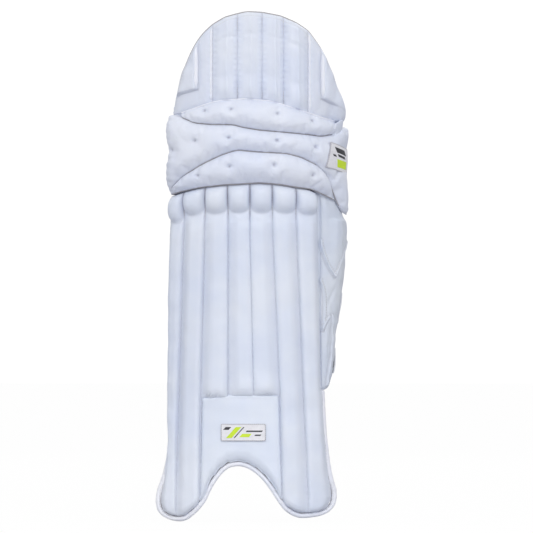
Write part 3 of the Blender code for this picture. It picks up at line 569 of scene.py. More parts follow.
def tube(name, pts, radius, mat, sides=10, closed=False, groove_shade=None):
    pts = np.asarray(pts, float)
    n = len(pts)
    radius = np.broadcast_to(np.asarray(radius, float), (n,))
    if closed:
        tan = np.roll(pts, -1, 0) - np.roll(pts, 1, 0)
    else:
        tan = np.gradient(pts, axis=0)
    tan /= np.maximum(np.linalg.norm(tan, axis=1, keepdims=True), 1e-12)
    up = np.array([0, 0, 1.0]) if abs(tan[0][2]) < 0.9 else np.array([0, 1.0, 0])
    a = np.cross(tan[0], up)
    a /= np.linalg.norm(a)
    frames = []
    for t in tan:
        a = a - t * np.dot(a, t)
        a /= np.linalg.norm(a)
        frames.append((a.copy(), np.cross(t, a)))
    A = np.array([f[0] for f in frames])
    B = np.array([f[1] for f in frames])
    if closed:
        twist = math.atan2(np.dot(A[0], np.cross(tan[0], A[-1])) * -1, np.dot(A[0], A[-1]))
        turn = np.linspace(0, twist, n)[:, None]
        A, B = A * np.cos(turn) + B * np.sin(turn), B * np.cos(turn) - A * np.sin(turn)
    ang = np.linspace(0, 2 * math.pi, sides, endpoint=False)
    ring = A[:, None] * np.cos(ang)[None, :, None] + B[:, None] * np.sin(ang)[None, :, None]
    if closed:
        verts = (pts[:, None] + ring * radius[:, None, None]).reshape(-1, 3)
        i, j = np.meshgrid(np.arange(n), np.arange(sides), indexing="ij")
        i2, j2 = (i + 1) % n, (j + 1) % sides
        faces = np.stack([i * sides + j, i * sides + j2, i2 * sides + j2, i2 * sides + j], -1).reshape(-1, 4)
        return mesh_object(name, verts, faces, mat)
    # rounded ends: extra rings closing to a point
    P3, R3, RING = [], [], []
    for s, c in ((0.0, -1.0), (0.5, -0.87), (0.87, -0.5)):
        P3.append(pts[0] + tan[0] * radius[0] * c)
        R3.append(radius[0] * max(s, 0.02))
        RING.append(ring[0])
    for k in range(n):
        P3.append(pts[k])
        R3.append(radius[k])
        RING.append(ring[k])
    for s, c in ((0.87, 0.5), (0.5, 0.87), (0.0, 1.0)):
        P3.append(pts[-1] + tan[-1] * radius[-1] * c)
        R3.append(radius[-1] * max(s, 0.02))
        RING.append(ring[-1])
    P3, R3, RING = np.array(P3), np.array(R3), np.array(RING)
    verts = (P3[:, None] + RING * R3[:, None, None]).reshape(-1, 3)
    m = len(P3)
    i, j = np.meshgrid(np.arange(m - 1), np.arange(sides), indexing="ij")
    j2 = (j + 1) % sides
    quads = np.stack([i * sides + j, i * sides + j2, (i + 1) * sides + j2, (i + 1) * sides + j], -1).reshape(-1, 4)
    verts = np.concatenate([verts, [P3[0]], [P3[-1]]])
    me = bpy.data.meshes.new(name)
    faces = [tuple(q) for q in quads.tolist()]
    first, last = m * sides, m * sides + 1
    for k in range(sides):
        k2 = (k + 1) % sides
        faces.append((first, k2, k))
        faces.append((last, (m - 1) * sides + k, (m - 1) * sides + k2))
    me.from_pydata(verts.tolist(), [], faces)
    me.update()
    me.shade_smooth()
    me.materials.append(mat)
    ob = bpy.data.objects.new(name, me)
    bpy.context.scene.collection.objects.link(ob)
    fix_normals(ob)
    return ob


def fix_normals(ob):
    bm = bmesh.new()
    bm.from_mesh(ob.data)
    bmesh.ops.recalc_face_normals(bm, faces=bm.faces)
    if bm.calc_volume(signed=True) < 0:
        bmesh.ops.reverse_faces(bm, faces=bm.faces)
    bm.to_mesh(ob.data)
    bm.free()
    return ob


def _grain_template(seg=7, rings=5):
    verts, faces = [(-1.0, 0, 0)], []
    for r in range(1, rings):
        a = math.pi * r / rings
        for s in range(seg):
            b = 2 * math.pi * s / seg
            verts.append((-math.cos(a), math.sin(a) ** 0.6 * math.cos(b), math.sin(a) ** 0.6 * math.sin(b)))
    verts.append((1.0, 0, 0))
    end = len(verts) - 1
    for s in range(seg):
        faces.append((0, 1 + (s + 1) % seg, 1 + s))
        faces.append((end, end - seg + s, end - seg + (s + 1) % seg))
    for r in range(rings - 2):
        for s in range(seg):
            a, b = 1 + r * seg + s, 1 + r * seg + (s + 1) % seg
            faces.append((a, b, b + seg))
            faces.append((a, b + seg, a + seg))
    return np.array(verts), np.array(faces)


GRAIN_V, GRAIN_F = _grain_template()


def along(points, pitch):
    """Evenly spaced points, with tangents, on a polyline of metre points."""
    points = np.asarray(points, float)
    seg = np.linalg.norm(np.diff(points, axis=0), axis=1)
    run = np.concatenate([[0], np.cumsum(seg)])
    count = max(2, int(run[-1] / pitch))
    at = (np.arange(count) + 0.5) * run[-1] / count
    pos = np.stack([np.interp(at, run, points[:, k]) for k in range(3)], -1)
    ahead = np.stack([np.interp(np.minimum(at + pitch * 0.3, run[-1]), run, points[:, k]) for k in range(3)], -1)
    behind = np.stack([np.interp(np.maximum(at - pitch * 0.3, 0), run, points[:, k]) for k in range(3)], -1)
    tan = ahead - behind
    return pos, tan / np.linalg.norm(tan, axis=1, keepdims=True)


def stitches(name, lines, mat, pitch=3.6, length=2.5, width=0.95, height=0.7, lift=0.15):
    """Stitches along seams. Each line is (metre points, metre outward directions)."""
    vs, fs, base = [], [], 0
    for points, outs in lines:
        pos, tan = along(points, pitch * MM)
        points = np.asarray(points, float)
        seg = np.concatenate([[0], np.cumsum(np.linalg.norm(np.diff(points, axis=0), axis=1))])
        at = (np.arange(len(pos)) + 0.5) * seg[-1] / len(pos)
        out = np.stack([np.interp(at, seg, np.asarray(outs)[:, k]) for k in range(3)], -1)
        out = out - tan * np.sum(out * tan, 1, keepdims=True)
        out /= np.linalg.norm(out, axis=1, keepdims=True)
        cross = np.cross(tan, out)
        v = (pos[:, None] + out[:, None] * lift * MM
             + tan[:, None] * GRAIN_V[None, :, 0:1] * length * 0.5 * MM
             + cross[:, None] * GRAIN_V[None, :, 1:2] * width * 0.5 * MM
             + out[:, None] * GRAIN_V[None, :, 2:3] * height * 0.5 * MM)
        k = len(GRAIN_V)
        f = GRAIN_F[None] + (np.arange(len(pos)) * k)[:, None, None] + base
        vs.append(v.reshape(-1, 3))
        fs.append(f.reshape(-1, 3))
        base += len(pos) * k
    ob = mesh_object(name, np.concatenate(vs), np.concatenate(fs), mat)
    return fix_normals(ob)


def edge_distance(X, Z, ax, az):
    """Distance from every grid point to a polyline."""
    X, Z = np.asarray(X, float), np.asarray(Z, float)
    best = np.full(X.shape, 1e9)
    for x0, z0, x1, z1 in zip(ax[:-1], az[:-1], ax[1:], az[1:]):
        dx, dz = x1 - x0, z1 - z0
        ll = dx * dx + dz * dz
        if ll < 1e-9:
            continue
        t = np.clip(((X - x0) * dx + (Z - z0) * dz) / ll, 0, 1)
        best = np.minimum(best, (X - x0 - t * dx) ** 2 + (Z - z0 - t * dz) ** 2)
    return np.sqrt(best)


def round_edge(d, radius):
    """Height of a rounded edge, 0 at the rim to 1 at the radius and beyond."""
    u = np.clip(np.asarray(d, float) / radius, 0, 1)
    return np.sqrt(np.maximum(1 - (1 - u) ** 2, 0))


def spaced(a, b, n):
    return np.linspace(a, b, n)


def soft_bar(w, wobble=0.0, lean=0.0):
    """Section of a stuffed channel across w = -1 to 1: a steep facet on the outer side, a broad one towards the middle."""
    w = np.clip(np.asarray(w, float), -1, 1)
    if lean > 0:
        w = -w
    ridge = -0.27 + wobble
    knots = [-1, -0.95, -0.27, 0.62, 0.93, 1.0]
    level = [0, 0.14, 0.98, 0.90, 0.62, 0.0]
    if lean == 0:
        knots, level = [-1, -0.94, -0.45, 0.45, 0.94, 1.0], [0, 0.34, 0.95, 0.95, 0.34, 0.0]
    knots, level = np.array(knots), np.array(level)
    w = w - (ridge + 0.27) * np.clip(1 - w * w, 0, 1)
    total = 0
    for shift in (-0.05, -0.025, 0, 0.025, 0.05):
        total = total + np.interp(w + shift, knots, level, left=0, right=0)
    return total / 5


# ------------------------------------------------------------------ shin: seven stuffed channels
SHIN_W = -np.cos(np.linspace(0, math.pi, 15))
SHIN_W = np.sign(SHIN_W) * np.abs(SHIN_W) ** 0.9


def bar_limit(k, z):
    """x of seam k, 0 to 7, at z."""
    if k == 0:
        return EDGE_LEFT(z)
    if k == 7:
        return np.where(np.asarray(z) < 155, EDGE_RIGHT(z), SEAM_OUTER(z))
    return SEAMS[k - 1](z)


def shin_height(bar, w, x, z, zlow, ztop):
    """Front height t of the shin cover."""
    seed = bar * 7 + 3
    wob = 0.04 * noise2(x * 0 + bar * 40.0, z, 120.0, seed)
    shape = soft_bar(w, wob, (-1, -1, -1, -1, 1, 1, 1)[bar])
    floor = (0.0, 0.18, 0.22, 0.26, 0.55, 0.26, 0.20, 0.0)
    level = (floor[bar] + (floor[bar + 1] - floor[bar]) * (w + 1) / 2) * (1 - smooth(392, 408, z))
    shape = level + (1 - level) * shape
    full = 10.2
    crown = full * (1 + 0.06 * noise2(x, z, 60.0, seed + 1))
    toe = z - zlow
    # towards the feet the outer channels flatten and run down to the seam
    crown = crown * (0.62 + 0.38 * smooth(4, 95, toe)) * round_edge(toe, 10.0)
    if bar in (2, 3, 4):
        end = 167.0 + 1.2 * (1 - w * w) + {2: -2.5, 3: 0.0, 4: 0.6}[bar]
        over = z - end
        crown = np.where(over < 0, crown * 0.62 * smooth(-3.0, 0.0, over), crown * (0.62 + 0.38 * round_edge(over, 12.0)) * (1 + 0.14 * np.exp(-((over - 12) / 10.0) ** 2)))
    # knuckles at the top, rounded underneath and cut off from the channel below by a crease
    base = {0: 397.0, 1: 407.5, 2: 409.0, 3: 410.5, 4: 410.5, 5: 410.0, 6: 408.0}[bar]
    low = base + 8.0 * np.abs(w) ** 2.6
    span = np.maximum(ztop - low, 8)
    u = (z - low) / span
    knob = np.where(u > 0, np.clip(1 - np.abs(2 * u - 1) ** 2.4, 0, 1) ** 0.72, 0)
    wide = np.clip(1 - np.abs(w / 0.985) ** 2.8, 0, 1) ** 0.62
    bulge = {0: 2.6, 1: 3.6, 2: 4.0, 3: 4.0, 4: 4.0, 5: 3.6, 6: 3.0}[bar]
    crease = np.exp(-((z - low) / 4.0) ** 2)
    settle = 1 - 0.34 * smooth(low - 24, low - 2, z) * (z < low)
    body = crown * shape * settle * (1 - 0.35 * crease)
    head = (full + bulge) * knob * wide
    t = 5.2 + np.where(z < low, body, np.maximum(head, crown * shape * 0.42 * smooth(12, 0, z - low)))
    # soft dents along the stuffing, seam puckers
    t = t + 0.32 * noise2(x, z, 34.0, seed + 2) * shape
    t = t - 0.22 * np.cos(2 * math.pi * z / 7.3 + 2.0 * noise2(x, z, 40.0, seed + 3)) * np.exp(-((1 - np.abs(w)) / 0.20) ** 2) * (shape > 0.02)
    return np.maximum(t, 5.0 + 0 * t)


def build_shin():
    rows = 330
    s = np.linspace(0, 1, rows) ** 1.0
    cols_x, cols_z, cols_t, cols_g = [], [], [], []
    for bar in range(7):
        ws = SHIN_W if bar == 6 else SHIN_W[:-1]
        for w in ws:
            z = 5 + s * 440
            for _ in range(6):
                a, b = bar_limit(bar, z), bar_limit(bar + 1, z)
                x = a + (w + 1) / 2 * (b - a)
                zl, zt = bottom(x[0], 7.4 - 2.4 * smooth(62, 92, x[0])), SHIN_TOP_EDGE(x[-1])
                z = zl + s * (zt - zl)
            t = shin_height(bar, np.full(rows, w), x, z, bottom(x, 7.4 - 2.4 * smooth(62, 92, x)), SHIN_TOP_EDGE(x))
            cols_x.append(x)
            cols_z.append(z)
            cols_t.append(t)
            near = (1 - abs(w)) * (b - a) / 2
            # painted shade: dark in the channel seams, more so among the knuckles and just under the knee roll
            g = 0.34 * np.exp(-(near / 0.7) ** 2) + 0.05 * np.exp(-(near / 2.2) ** 2)
            g = 0.6 * g * (1 + 1.6 * smooth(400, 415, z))
            g = np.maximum(g, 0.45 * np.exp(-(near / 1.3) ** 2) * smooth(-11, -3, z - SHIN_TOP_EDGE(x)))
            lean = (-1, -1, -1, -1, 1, 1, 1)[bar]
            # painted shade on the steep outer facet of each channel, the side turned away from the light
            steep = np.clip(1 - np.abs(w * -lean + 0.61) / 0.42, 0, 1) ** 0.35 * (z < 398)
            g = np.maximum(g, 0.085 * steep * (0.3 if bar == 0 else 1.0))
            edge = bar == 0 and w < -0.98 or bar == 6 and w > 0.98
            if edge:
                g = g * 0.3
            # painted shade in the crease under each knuckle and along the top edge under the knee roll
            low = {0: 397.0, 1: 407.5, 2: 409.0, 3: 410.5, 4: 410.5, 5: 410.0, 6: 408.0}[bar] + 8.0 * abs(w) ** 2.6
            g = np.maximum(g, 0.10 * np.exp(-((z - low) / 1.6) ** 2))
            g = np.maximum(g, 0.5 * np.exp(-((z - SHIN_TOP_EDGE(x)) / 1.6) ** 2))
            if bar in (2, 3, 4):
                g = g * (z > 165)
            cols_g.append(np.clip(g, 0, 1))
    X, Z, T, G = (np.array(v).T for v in (cols_x, cols_z, cols_t, cols_g))
    Pm = round_leg(X, Z, 5.2)
    ob = shell("shin_cover_skin", Pm, Z, T, MAT["cover"], groove_shade=G, rings=4)
    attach(ob, "shin")
    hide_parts("shin_cover", *[f"shin_bolster_{k}" for k in range(1, 8)])
    return ob


build_shin()

# channel seams, stitched in the valleys
lines = []
for k in range(1, 7):
    z0 = 171 if k in (3, 4) else (bottom(float(SEAMS[k - 1](60)), 8.2) + 6)
    if k in (2, 5):
        z0 = bottom(float(SEAMS[k - 1](30)), 8.2) + 5
    z = np.linspace(float(z0), float(SHIN_TOP_EDGE(SEAMS[k - 1](445))) - 1.5, 160)
    x = SEAMS[k - 1](z)
    p = round_leg(x, z, 5.2)
    lines.append((form(p, z, 5.5), outward(p, z)))
ob = stitches("channel_stitching", lines, MAT["thread"], pitch=3.3, length=2.1, width=0.9, height=0.8, lift=0.25)
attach(ob, "shin")


def rounded_rect(cx, cz, w, h, r, n=6):
    pts = []
    for k, (sx, sz) in enumerate(((1, -1), (1, 1), (-1, 1), (-1, -1))):
        for q in range(n + 1):
            a = math.radians(-90 + 90 * k + 90 * q / n)
            pts.append((cx + sx * (w / 2 - r) + r * math.cos(a), cz + sz * (h / 2 - r) + r * math.sin(a)))
    return pts


def plate(name, outline, place, low, high, mat, bevel=0.25):
    """A thin flat patch with softened edges: outline in local (u, v) mm, place(u, v, t) gives metre points."""
    outline = np.asarray(outline, float)
    c = outline.mean(0)
    n = len(outline)
    inner = c + (outline - c) * (1 - bevel / np.maximum(np.linalg.norm(outline - c, axis=1, keepdims=True), 1e-6))
    levels = [(outline, low), (outline, high - bevel), (inner, high)]
    steps = 6
    verts, faces = [], []
    for ring, t in levels:
        verts.append(place(ring[:, 0], ring[:, 1], np.full(n, t)))
    for k in range(1, steps):
        ring = inner + (c - inner) * (k / steps)
        verts.append(place(ring[:, 0], ring[:, 1], np.full(n, high)))
    top_c = place(np.array([c[0]]), np.array([c[1]]), np.array([high]))
    low_c = place(np.array([c[0]]), np.array([c[1]]), np.array([low]))
    rings = len(verts)
    V = np.concatenate(verts + [top_c, low_c])
    for r in range(rings - 1):
        for k in range(n):
            k2 = (k + 1) % n
            faces.append((r * n + k, r * n + k2, (r + 1) * n + k2, (r + 1) * n + k))
    t, b = rings * n, rings * n + 1
    for k in range(n):
        k2 = (k + 1) % n
        faces.append(((rings - 1) * n + k, (rings - 1) * n + k2, t))
        faces.append((k2, k, b))
    me = bpy.data.meshes.new(name)
    me.from_pydata(V.tolist(), [], faces)
    me.update()
    me.shade_smooth()
    me.set_sharp_from_angle(angle=math.radians(40))
    me.materials.append(mat)
    ob = bpy.data.objects.new(name, me)
    bpy.context.scene.collection.objects.link(ob)
    return fix_normals(ob)


# ------------------------------------------------------------------ instep panel
def build_instep():
    cols, rows = 78, 76
    xs = np.linspace(-63.5, 40.0, cols)
    s = np.linspace(0, 1, rows)[:, None]
    X = np.broadcast_to(xs, (rows, cols))
    for _ in range(3):
        top = 164.5 + 4.6 * smooth(-66, -12, X) - 1.2 * smooth(5, 40, X)
        Z = bottom(X, 7.4) + s * (top - bottom(X, 7.4))
        left, right = SEAMS[1](Z) + 0.5, SEAMS[4](Z) - 0.5
        X = left + (xs - xs[0])[None] / (xs[-1] - xs[0]) * (right - left)
    dside = np.minimum(X - left, right - X)
    dlow, dtop = Z - bottom(X, 7.4), top - Z
    T = 5.0 + 6.0 * round_edge(dside, 7) * round_edge(dlow, 16) ** 1.25 * (0.80 + 0.20 * round_edge(dtop, 4))
    T = T + 0.6 * np.exp(-((dtop - 1.6) / 1.4) ** 2) * round_edge(dside, 4)
    bulge = np.exp(-(((X + 12) / 34) ** 2 + ((Z - 153) / 11) ** 2))
    T = T + 0.8 * bulge + 0.25 * noise2(X, Z, 38.0, 81)
    badge = np.exp(-np.maximum(0, np.maximum(np.abs(X + 8.8) - 29, np.abs(Z - 119.4) - 11)) / 3.0)
    T = T * (1 - badge) + np.minimum(T, 11.6) * badge
    # painted shade along the panel's side seams
    G = np.clip(0.28 * np.exp(-(dside / 0.9) ** 2), 0, 1)
    ob = shell("instep_panel_skin", round_leg(X, Z, 7.0), Z, T, MAT["instep"], rim=5.3, rings=2, flare=0.1, thick=0.9, groove_shade=G)
    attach(ob, "shin")
    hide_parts("instep_panel", "instep_foam")


build_instep()

# instep badge: white patch, grey border, plain lime and dark shapes
BX, BZ, BW, BH = -8.8, 119.4, 60.0, 23.0


def badge_place(cx, cz, base, turn=0.0, by_p=False):
    c, s_ = math.cos(turn), math.sin(turn)

    def place(u, v, t):
        x, z = cx + u * c - v * s_, cz + u * s_ + v * c
        p = x if by_p else round_leg(x, z, base)
        return form(p, z, base + t)
    return place


place = badge_place(BX, BZ, 12.35)
parts = [
    ("front_badge_border", rounded_rect(0, 0, BW, BH, 2.0), -0.3, 0.45, "patch_grey"),
    ("front_badge_field", rounded_rect(0, 0, BW - 2.4, BH - 2.4, 1.4), 0.0, 0.62, "patch_white"),
    ("front_badge_lime_bar", [(-23, -7.4), (-15.5, -7.4), (-2.5, 7.2), (-10, 7.2)], 0.3, 0.95, "patch_lime"),
    ("front_badge_lime_block", [(-5.5, -6.2), (7.5, -6.2), (11.0, -1.8), (-1.5, -1.8)], 0.3, 0.95, "patch_lime"),
    ("front_badge_dark_bar_1", [(-27, 3.4), (-19.5, 3.4), (-16, 7.2), (-23.5, 7.2)], 0.3, 0.85, "patch_black"),
    ("front_badge_dark_bar_2", [(3, 0.6), (24.5, 0.6), (26.2, 2.6), (4.7, 2.6)], 0.3, 0.85, "patch_black"),
    ("front_badge_dark_bar_3", [(14.5, -4.6), (22.5, -4.6), (24.0, -2.8), (16.0, -2.8)], 0.3, 0.85, "patch_black"),
    ("front_badge_dark_edge", [(-13.0, -7.4), (-11.4, -7.4), (1.6, 7.2), (0.0, 7.2)], 0.3, 0.85, "patch_black"),
]


def dense(outline, step=3.0):
    out = []
    for (a, b), (c, d) in zip(outline, outline[1:] + outline[:1]):
        k = max(1, int(math.hypot(c - a, d - b) / step))
        out += [(a + (c - a) * q / k, b + (d - b) * q / k) for q in range(k)]
    return out


for name, outline, lo, hi, mat in parts:
    ob = plate(name, dense(list(map(tuple, outline))), place, lo, hi, MAT[mat])
    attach(ob, "shin")
    if name == "front_badge_field":
        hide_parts("front_badge")
border = dense(rounded_rect(0, 0, BW - 1.1, BH - 1.1, 1.7) + [rounded_rect(0, 0, BW - 1.1, BH - 1.1, 1.7)[0]], 1.0)
u, v = np.array(border).T
pts = place(u, v, np.full(len(u), 0.5))
ob = stitches("front_badge_stitching", [(pts, outward(round_leg(BX + u, BZ + v), BZ + v))], MAT["thread"], pitch=2.6, length=1.8, width=0.6, height=0.5)
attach(ob, "shin")


# ------------------------------------------------------------------ round binding of the lower edge
def binding_path():
    left = [(-110.0, 146), (-110.0, 128), (-109.9, 109), (-114.4, 82.5), (-119.8, 56), (-123.8, 42.6), (-126.2, 31)]
    right = [(115.9, 30), (115.6, 42), (111.8, 56), (107.8, 82.5), (104.6, 109), (102.9, 136), (102.4, 158), (102.0, 173.6)]
    foot = [q for q in BOTTOM_EDGE if q[1] < 60 or abs(q[0]) < 80]
    foot = [(x + 1.0 * smooth(60, 100, x), z - 1.6 * smooth(55, 95, x)) for x, z in foot if z < 27 or abs(x) < 80]
    pts = np.array(left + foot + right, float)
    # resample with a spline so the feet are round
    seg = np.concatenate([[0], np.cumsum(np.linalg.norm(np.diff(pts, axis=0), axis=1))])
    at = np.linspace(0, seg[-1], 420)
    out = np.stack([np.interp(at, seg, pts[:, k]) for k in range(2)], -1)
    for _ in range(14):
        out[1:-1] = 0.25 * out[:-2] + 0.5 * out[1:-1] + 0.25 * out[2:]
    return out


def build_binding():
    path = binding_path()
    d = np.gradient(path, axis=0)
    d /= np.linalg.norm(d, axis=1, keepdims=True)
    n = len(path)
    # the run goes down the left side, under the feet and up the right: its left hand side lies inside
    across = np.linspace(0, 1, 13)[:, None]
    left, right = (path[:, 0] < -90), (path[:, 0] > 85)
    taper = np.where(left, 1 - 0.55 * smooth(60, 146, path[:, 1]), np.where(right, 1 - 0.20 * smooth(45, 100, path[:, 1]), 1.0))
    width = (6.5 + 0.15 * np.sin(np.arange(n) * 0.7)) * taper
    X = path[:, 0][None] - d[:, 1][None] * across * width[None]
    Z = path[:, 1][None] + d[:, 0][None] * across * width[None]
    bulge = np.sqrt(np.maximum(1 - (2 * across - 1) ** 2, 0))
    lumps = 0.14 * np.sin(np.arange(n) * 0.83)[None] * bulge
    front_t = 1.4 + (3.4 * bulge ** 0.8 + lumps) * taper[None]
    back_t = 1.4 - 3.0 * bulge * taper[None]
    p = round_leg(X, Z, 2.5)
    # up the sides the tape turns over the edge of the cover: it starts under the cover and wraps no further than its width
    inner = round_leg(X[-1], Z[-1], 5.0)
    sideways = smooth(40, 70, Z[0]) * (np.abs(X[0]) > 85)
    wrap = inner[None] + np.where(right, 1.0, -1.0)[None] * ((1 - across) * 9.5 * taper[None] - 1.5 * across)
    p = p * (1 - sideways) + sideways * wrap
    ob = closed_sheet("bottom_binding_tape", form(p, Z, front_t), form(p, Z, back_t), MAT["binding"], 0 * front_t)
    fix_normals(ob)
    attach(ob, "shin")
    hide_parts("bottom_binding")
    return path, d


path, d = build_binding()
# the dark line where the cover's turned edge meets the binding
keep = np.arange(6, len(path) - 6)
keep = keep[path[keep, 1] < 104]
x2, z2 = (path[:, 0] - d[:, 1] * 6.9)[keep], (path[:, 1] + d[:, 0] * 6.9)[keep]
p2 = round_leg(x2, z2, 3.5)
ob = tube("bottom_binding_seam", form(p2, z2, 3.8), 0.38 * MM, MAT["piping"], sides=8)
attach(ob, "shin")
x3, z3 = (path[:, 0] - d[:, 1] * 5.0)[keep], (path[:, 1] + d[:, 0] * 5.0)[keep]
p3 = round_leg(x3, z3, 3.5)
ob = stitches("bottom_binding_stitching", [(form(p3, z3, 3.9), outward(p3, z3))], MAT["thread"], pitch=3.8, length=2.5, width=0.8, height=0.6)
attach(ob, "shin")


# ------------------------------------------------------------------ knee rolls
TUFTS = {
    "upper_knee_roll": ((-61.5, 547), (-25, 549), (36.5, 543), (85, 534)),
    "middle_knee_roll": ((-72.5, 507), (-28, 511), (36, 507.5), (87, 499), (-103, 495)),
    "lower_knee_roll": ((-70, 461), (-27, 473), (32, 475), (83, 461.5)),
}
P_TUFTS = {k: [(float(round_leg(x, z, 17.0)), z) for x, z in v] for k, v in TUFTS.items()}


def relax(pts, pin, pressure=3.0, grow=0.0, frames=16, cap=5.0, stiff=12.0, bend=0.4, limit=None):
    """Cloth under light pressure from the given sheet: pin 1 holds a point. Returns the moved points."""
    m, n = pts.shape[:2]
    ob = mesh_object("relaxing_sheet", pts.reshape(-1, 3) * 10.0, grid_faces(m, n), MAT["cover"])
    group = ob.vertex_groups.new(name="pin")
    flat = pin.ravel()
    for level in np.unique(np.round(flat, 2)):
        if level > 0:
            group.add(np.nonzero(np.round(flat, 2) == level)[0].tolist(), float(level), "REPLACE")
    mod = ob.modifiers.new("cloth", "CLOTH")
    st = mod.settings
    st.quality = 6
    st.mass = 0.3
    st.tension_stiffness = st.compression_stiffness = stiff
    st.shear_stiffness = stiff * 0.6
    st.bending_stiffness = bend
    st.air_damping = 2.0
    st.use_pressure = True
    st.uniform_pressure_force = pressure
    st.shrink_min = st.shrink_max = -grow
    st.vertex_group_mass = "pin"
    st.pin_stiffness = 1.0
    st.effector_weights.gravity = 0.0
    mod.collision_settings.use_collision = False
    mod.collision_settings.use_self_collision = False
    mod.point_cache.frame_start, mod.point_cache.frame_end = 1, frames
    scene = bpy.context.scene
    for f in range(1, frames + 1):
        scene.frame_set(f)
    dg = bpy.context.evaluated_depsgraph_get()
    me = ob.evaluated_get(dg).to_mesh()
    co = np.empty(len(me.vertices) * 3, np.float32)
    me.vertices.foreach_get("co", co)
    moved = co.reshape(m, n, 3).astype(float) / 10.0
    bpy.data.objects.remove(ob)
    scene.frame_set(1)
    move = moved - pts
    far = np.linalg.norm(move, axis=-1, keepdims=True)
    top = cap * MM
    soft = top * np.tanh(far / top) / np.maximum(far, 1e-9)
    return pts + np.where(far > 1e-9, move * soft, 0)


def roll_front(name, Pm, Zm, crown, radius, base=5.0, power=1.0):
    """Distances over a sheet whose rim is the grid's own rim: to the whole rim, and to its lower and upper rows."""
    m, n = Pm.shape
    rim = grid_rim(m, n)
    rp, rz = np.append(Pm.ravel()[rim], Pm[0, 0]), np.append(Zm.ravel()[rim], Zm[0, 0])
    keep = np.arange(0, len(rp), 2)
    d = edge_distance(Pm, Zm, rp[keep], rz[keep])
    low = np.minimum(edge_distance(Pm, Zm, Pm[0, ::2], Zm[0, ::2]), 50)
    high = np.minimum(edge_distance(Pm, Zm, Pm[-1, ::2], Zm[-1, ::2]), 50)
    return d, low, high


def dimples(Pm, Zm, spots, depth=5.0, r=2.3):
    out = np.zeros(Pm.shape)
    for p, z in spots:
        dd = np.hypot(Pm - p, (Zm - z) * 1.1)
        out -= depth * np.exp(-(dd / r) ** 2) + 1.9 * np.exp(-(dd / 7.0) ** 2)
    return out


def tuft_shade(Pm, Zm, spots):
    g = np.zeros(Pm.shape)
    for p, z in spots:
        g = np.maximum(g, 0.75 * np.exp(-(np.hypot(Pm - p, Zm - z) / 1.5) ** 2))
    return g


def pillow(dl, dh, dend, e_lo, e_hi, rise, r_lo, r_hi, end_level=5.0, r_end=12.0):
    """Section of a stuffed roll: from its lower seam up over the stuffing to its upper seam, closing down at its ends."""
    v = dl / np.maximum(dl + dh, 1e-3)
    edge = e_lo + (e_hi - e_lo) * smooth(0, 1, v)
    a = np.clip(1 - (1 - np.clip(dl / r_lo, 0, 1)) ** 2.4, 0, 1) ** 0.75
    b = np.clip(1 - (1 - np.clip(dh / r_hi, 0, 1)) ** 2.0, 0, 1) ** 0.85
    t = edge + rise * np.minimum(a, 1) * np.minimum(b, 1)
    e = round_edge(dend, r_end)
    return end_level + (t - end_level) * e


def gathers(s, d, pitch, depth, reach, seed):
    """Small folds running in from a seam."""
    wave = np.cos(2 * math.pi * s / pitch + 1.6 * noise2(s, d * 0, 60.0, seed))
    strong = 0.6 + 0.4 * noise2(s, d * 0, 30.0, seed + 1)
    return depth * wave * strong * np.exp(-(d / reach) ** 1.3) * smooth(0, 2.0, d)


def finish_roll(name, Pm, Zm, T, body, blend, replaces, groove_shade, mat, rim_level, pin_extra=None, pressure=3.0, grow=0.02, cap=4.0):
    m, n = Pm.shape
    K = 3
    front = form(Pm, Zm, T)
    pin = np.zeros((m, n))
    pin[0], pin[-1], pin[:, 0], pin[:, -1] = 1, 1, 1, 1
    if pin_extra is not None:
        pin = np.maximum(pin, pin_extra)
    front = relax(front, pin, pressure=pressure, grow=grow, cap=cap)
    # turned edges, down to the seam level
    Pp, Zp = np.pad(Pm, K, mode="edge"), np.pad(Zm, K, mode="edge")
    level = np.pad(np.broadcast_to(rim_level, (m, n)), K, mode="edge")
    i, j = np.arange(m + 2 * K)[:, None], np.arange(n + 2 * K)[None]
    di = np.maximum(K - i, 0) + np.maximum(i - (m + K - 1), 0)
    dj = np.maximum(K - j, 0) + np.maximum(j - (n + K - 1), 0)
    r = np.maximum(di, dj) / K
    full = np.pad(front, ((K, K), (K, K), (0, 0)), mode="edge")
    down = form(Pp, Zp, level)
    full = full * (1 - r[..., None]) + down * r[..., None]
    nrm = grid_normals(full)
    ring = (r > 0)[..., None]
    full = full + np.where(ring, nrm * 0.35 * MM * np.sin(r[..., None] * math.pi), 0)
    back = full - nrm * 1.3 * MM
    ob = closed_sheet(name, full, back, mat, np.pad(groove_shade, K, mode="edge"))
    sub = ob.modifiers.new("smooth", "SUBSURF")
    sub.levels = sub.render_levels = 1
    dg = bpy.context.evaluated_depsgraph_get()
    me = bpy.data.meshes.new_from_object(ob.evaluated_get(dg))
    ob.modifiers.clear()
    ob.data = me
    me.name = name
    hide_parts(*replaces)
    if blend:
        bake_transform(ob)
    else:
        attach(ob, body)
    return ob


def surface_reader(Pm, Zm, T):
    """Reads the height of a made sheet at (p, z): nearest grid points, weighted."""
    pf, zf, tf = Pm.ravel(), Zm.ravel(), T.ravel()

    def read(p, z):
        p, z = np.atleast_1d(p).astype(float), np.atleast_1d(z).astype(float)
        out = np.empty(len(p))
        for k in range(len(p)):
            dd = (pf - p[k]) ** 2 + (zf - z[k]) ** 2
            near = np.argpartition(dd, 6)[:6]
            w = 1 / (dd[near] + 0.05)
            out[k] = np.sum(tf[near] * w) / np.sum(w)
        return out
    return read


lower_low_p, lower_top_p, upper_top_p = at_p(LOWER_BOTTOM), at_p(LOWER_TOP), at_p(UPPER_TOP)
BLEND = {"lower": ("shin", "lower_knee_roll", 447, 476), "middle": ("lower_knee_roll", "middle_knee_roll", 486, 518),
         "upper": ("middle_knee_roll", "upper_knee_roll", 520, 545), "hat": ("upper_knee_roll", "top_hat", 548, 580)}


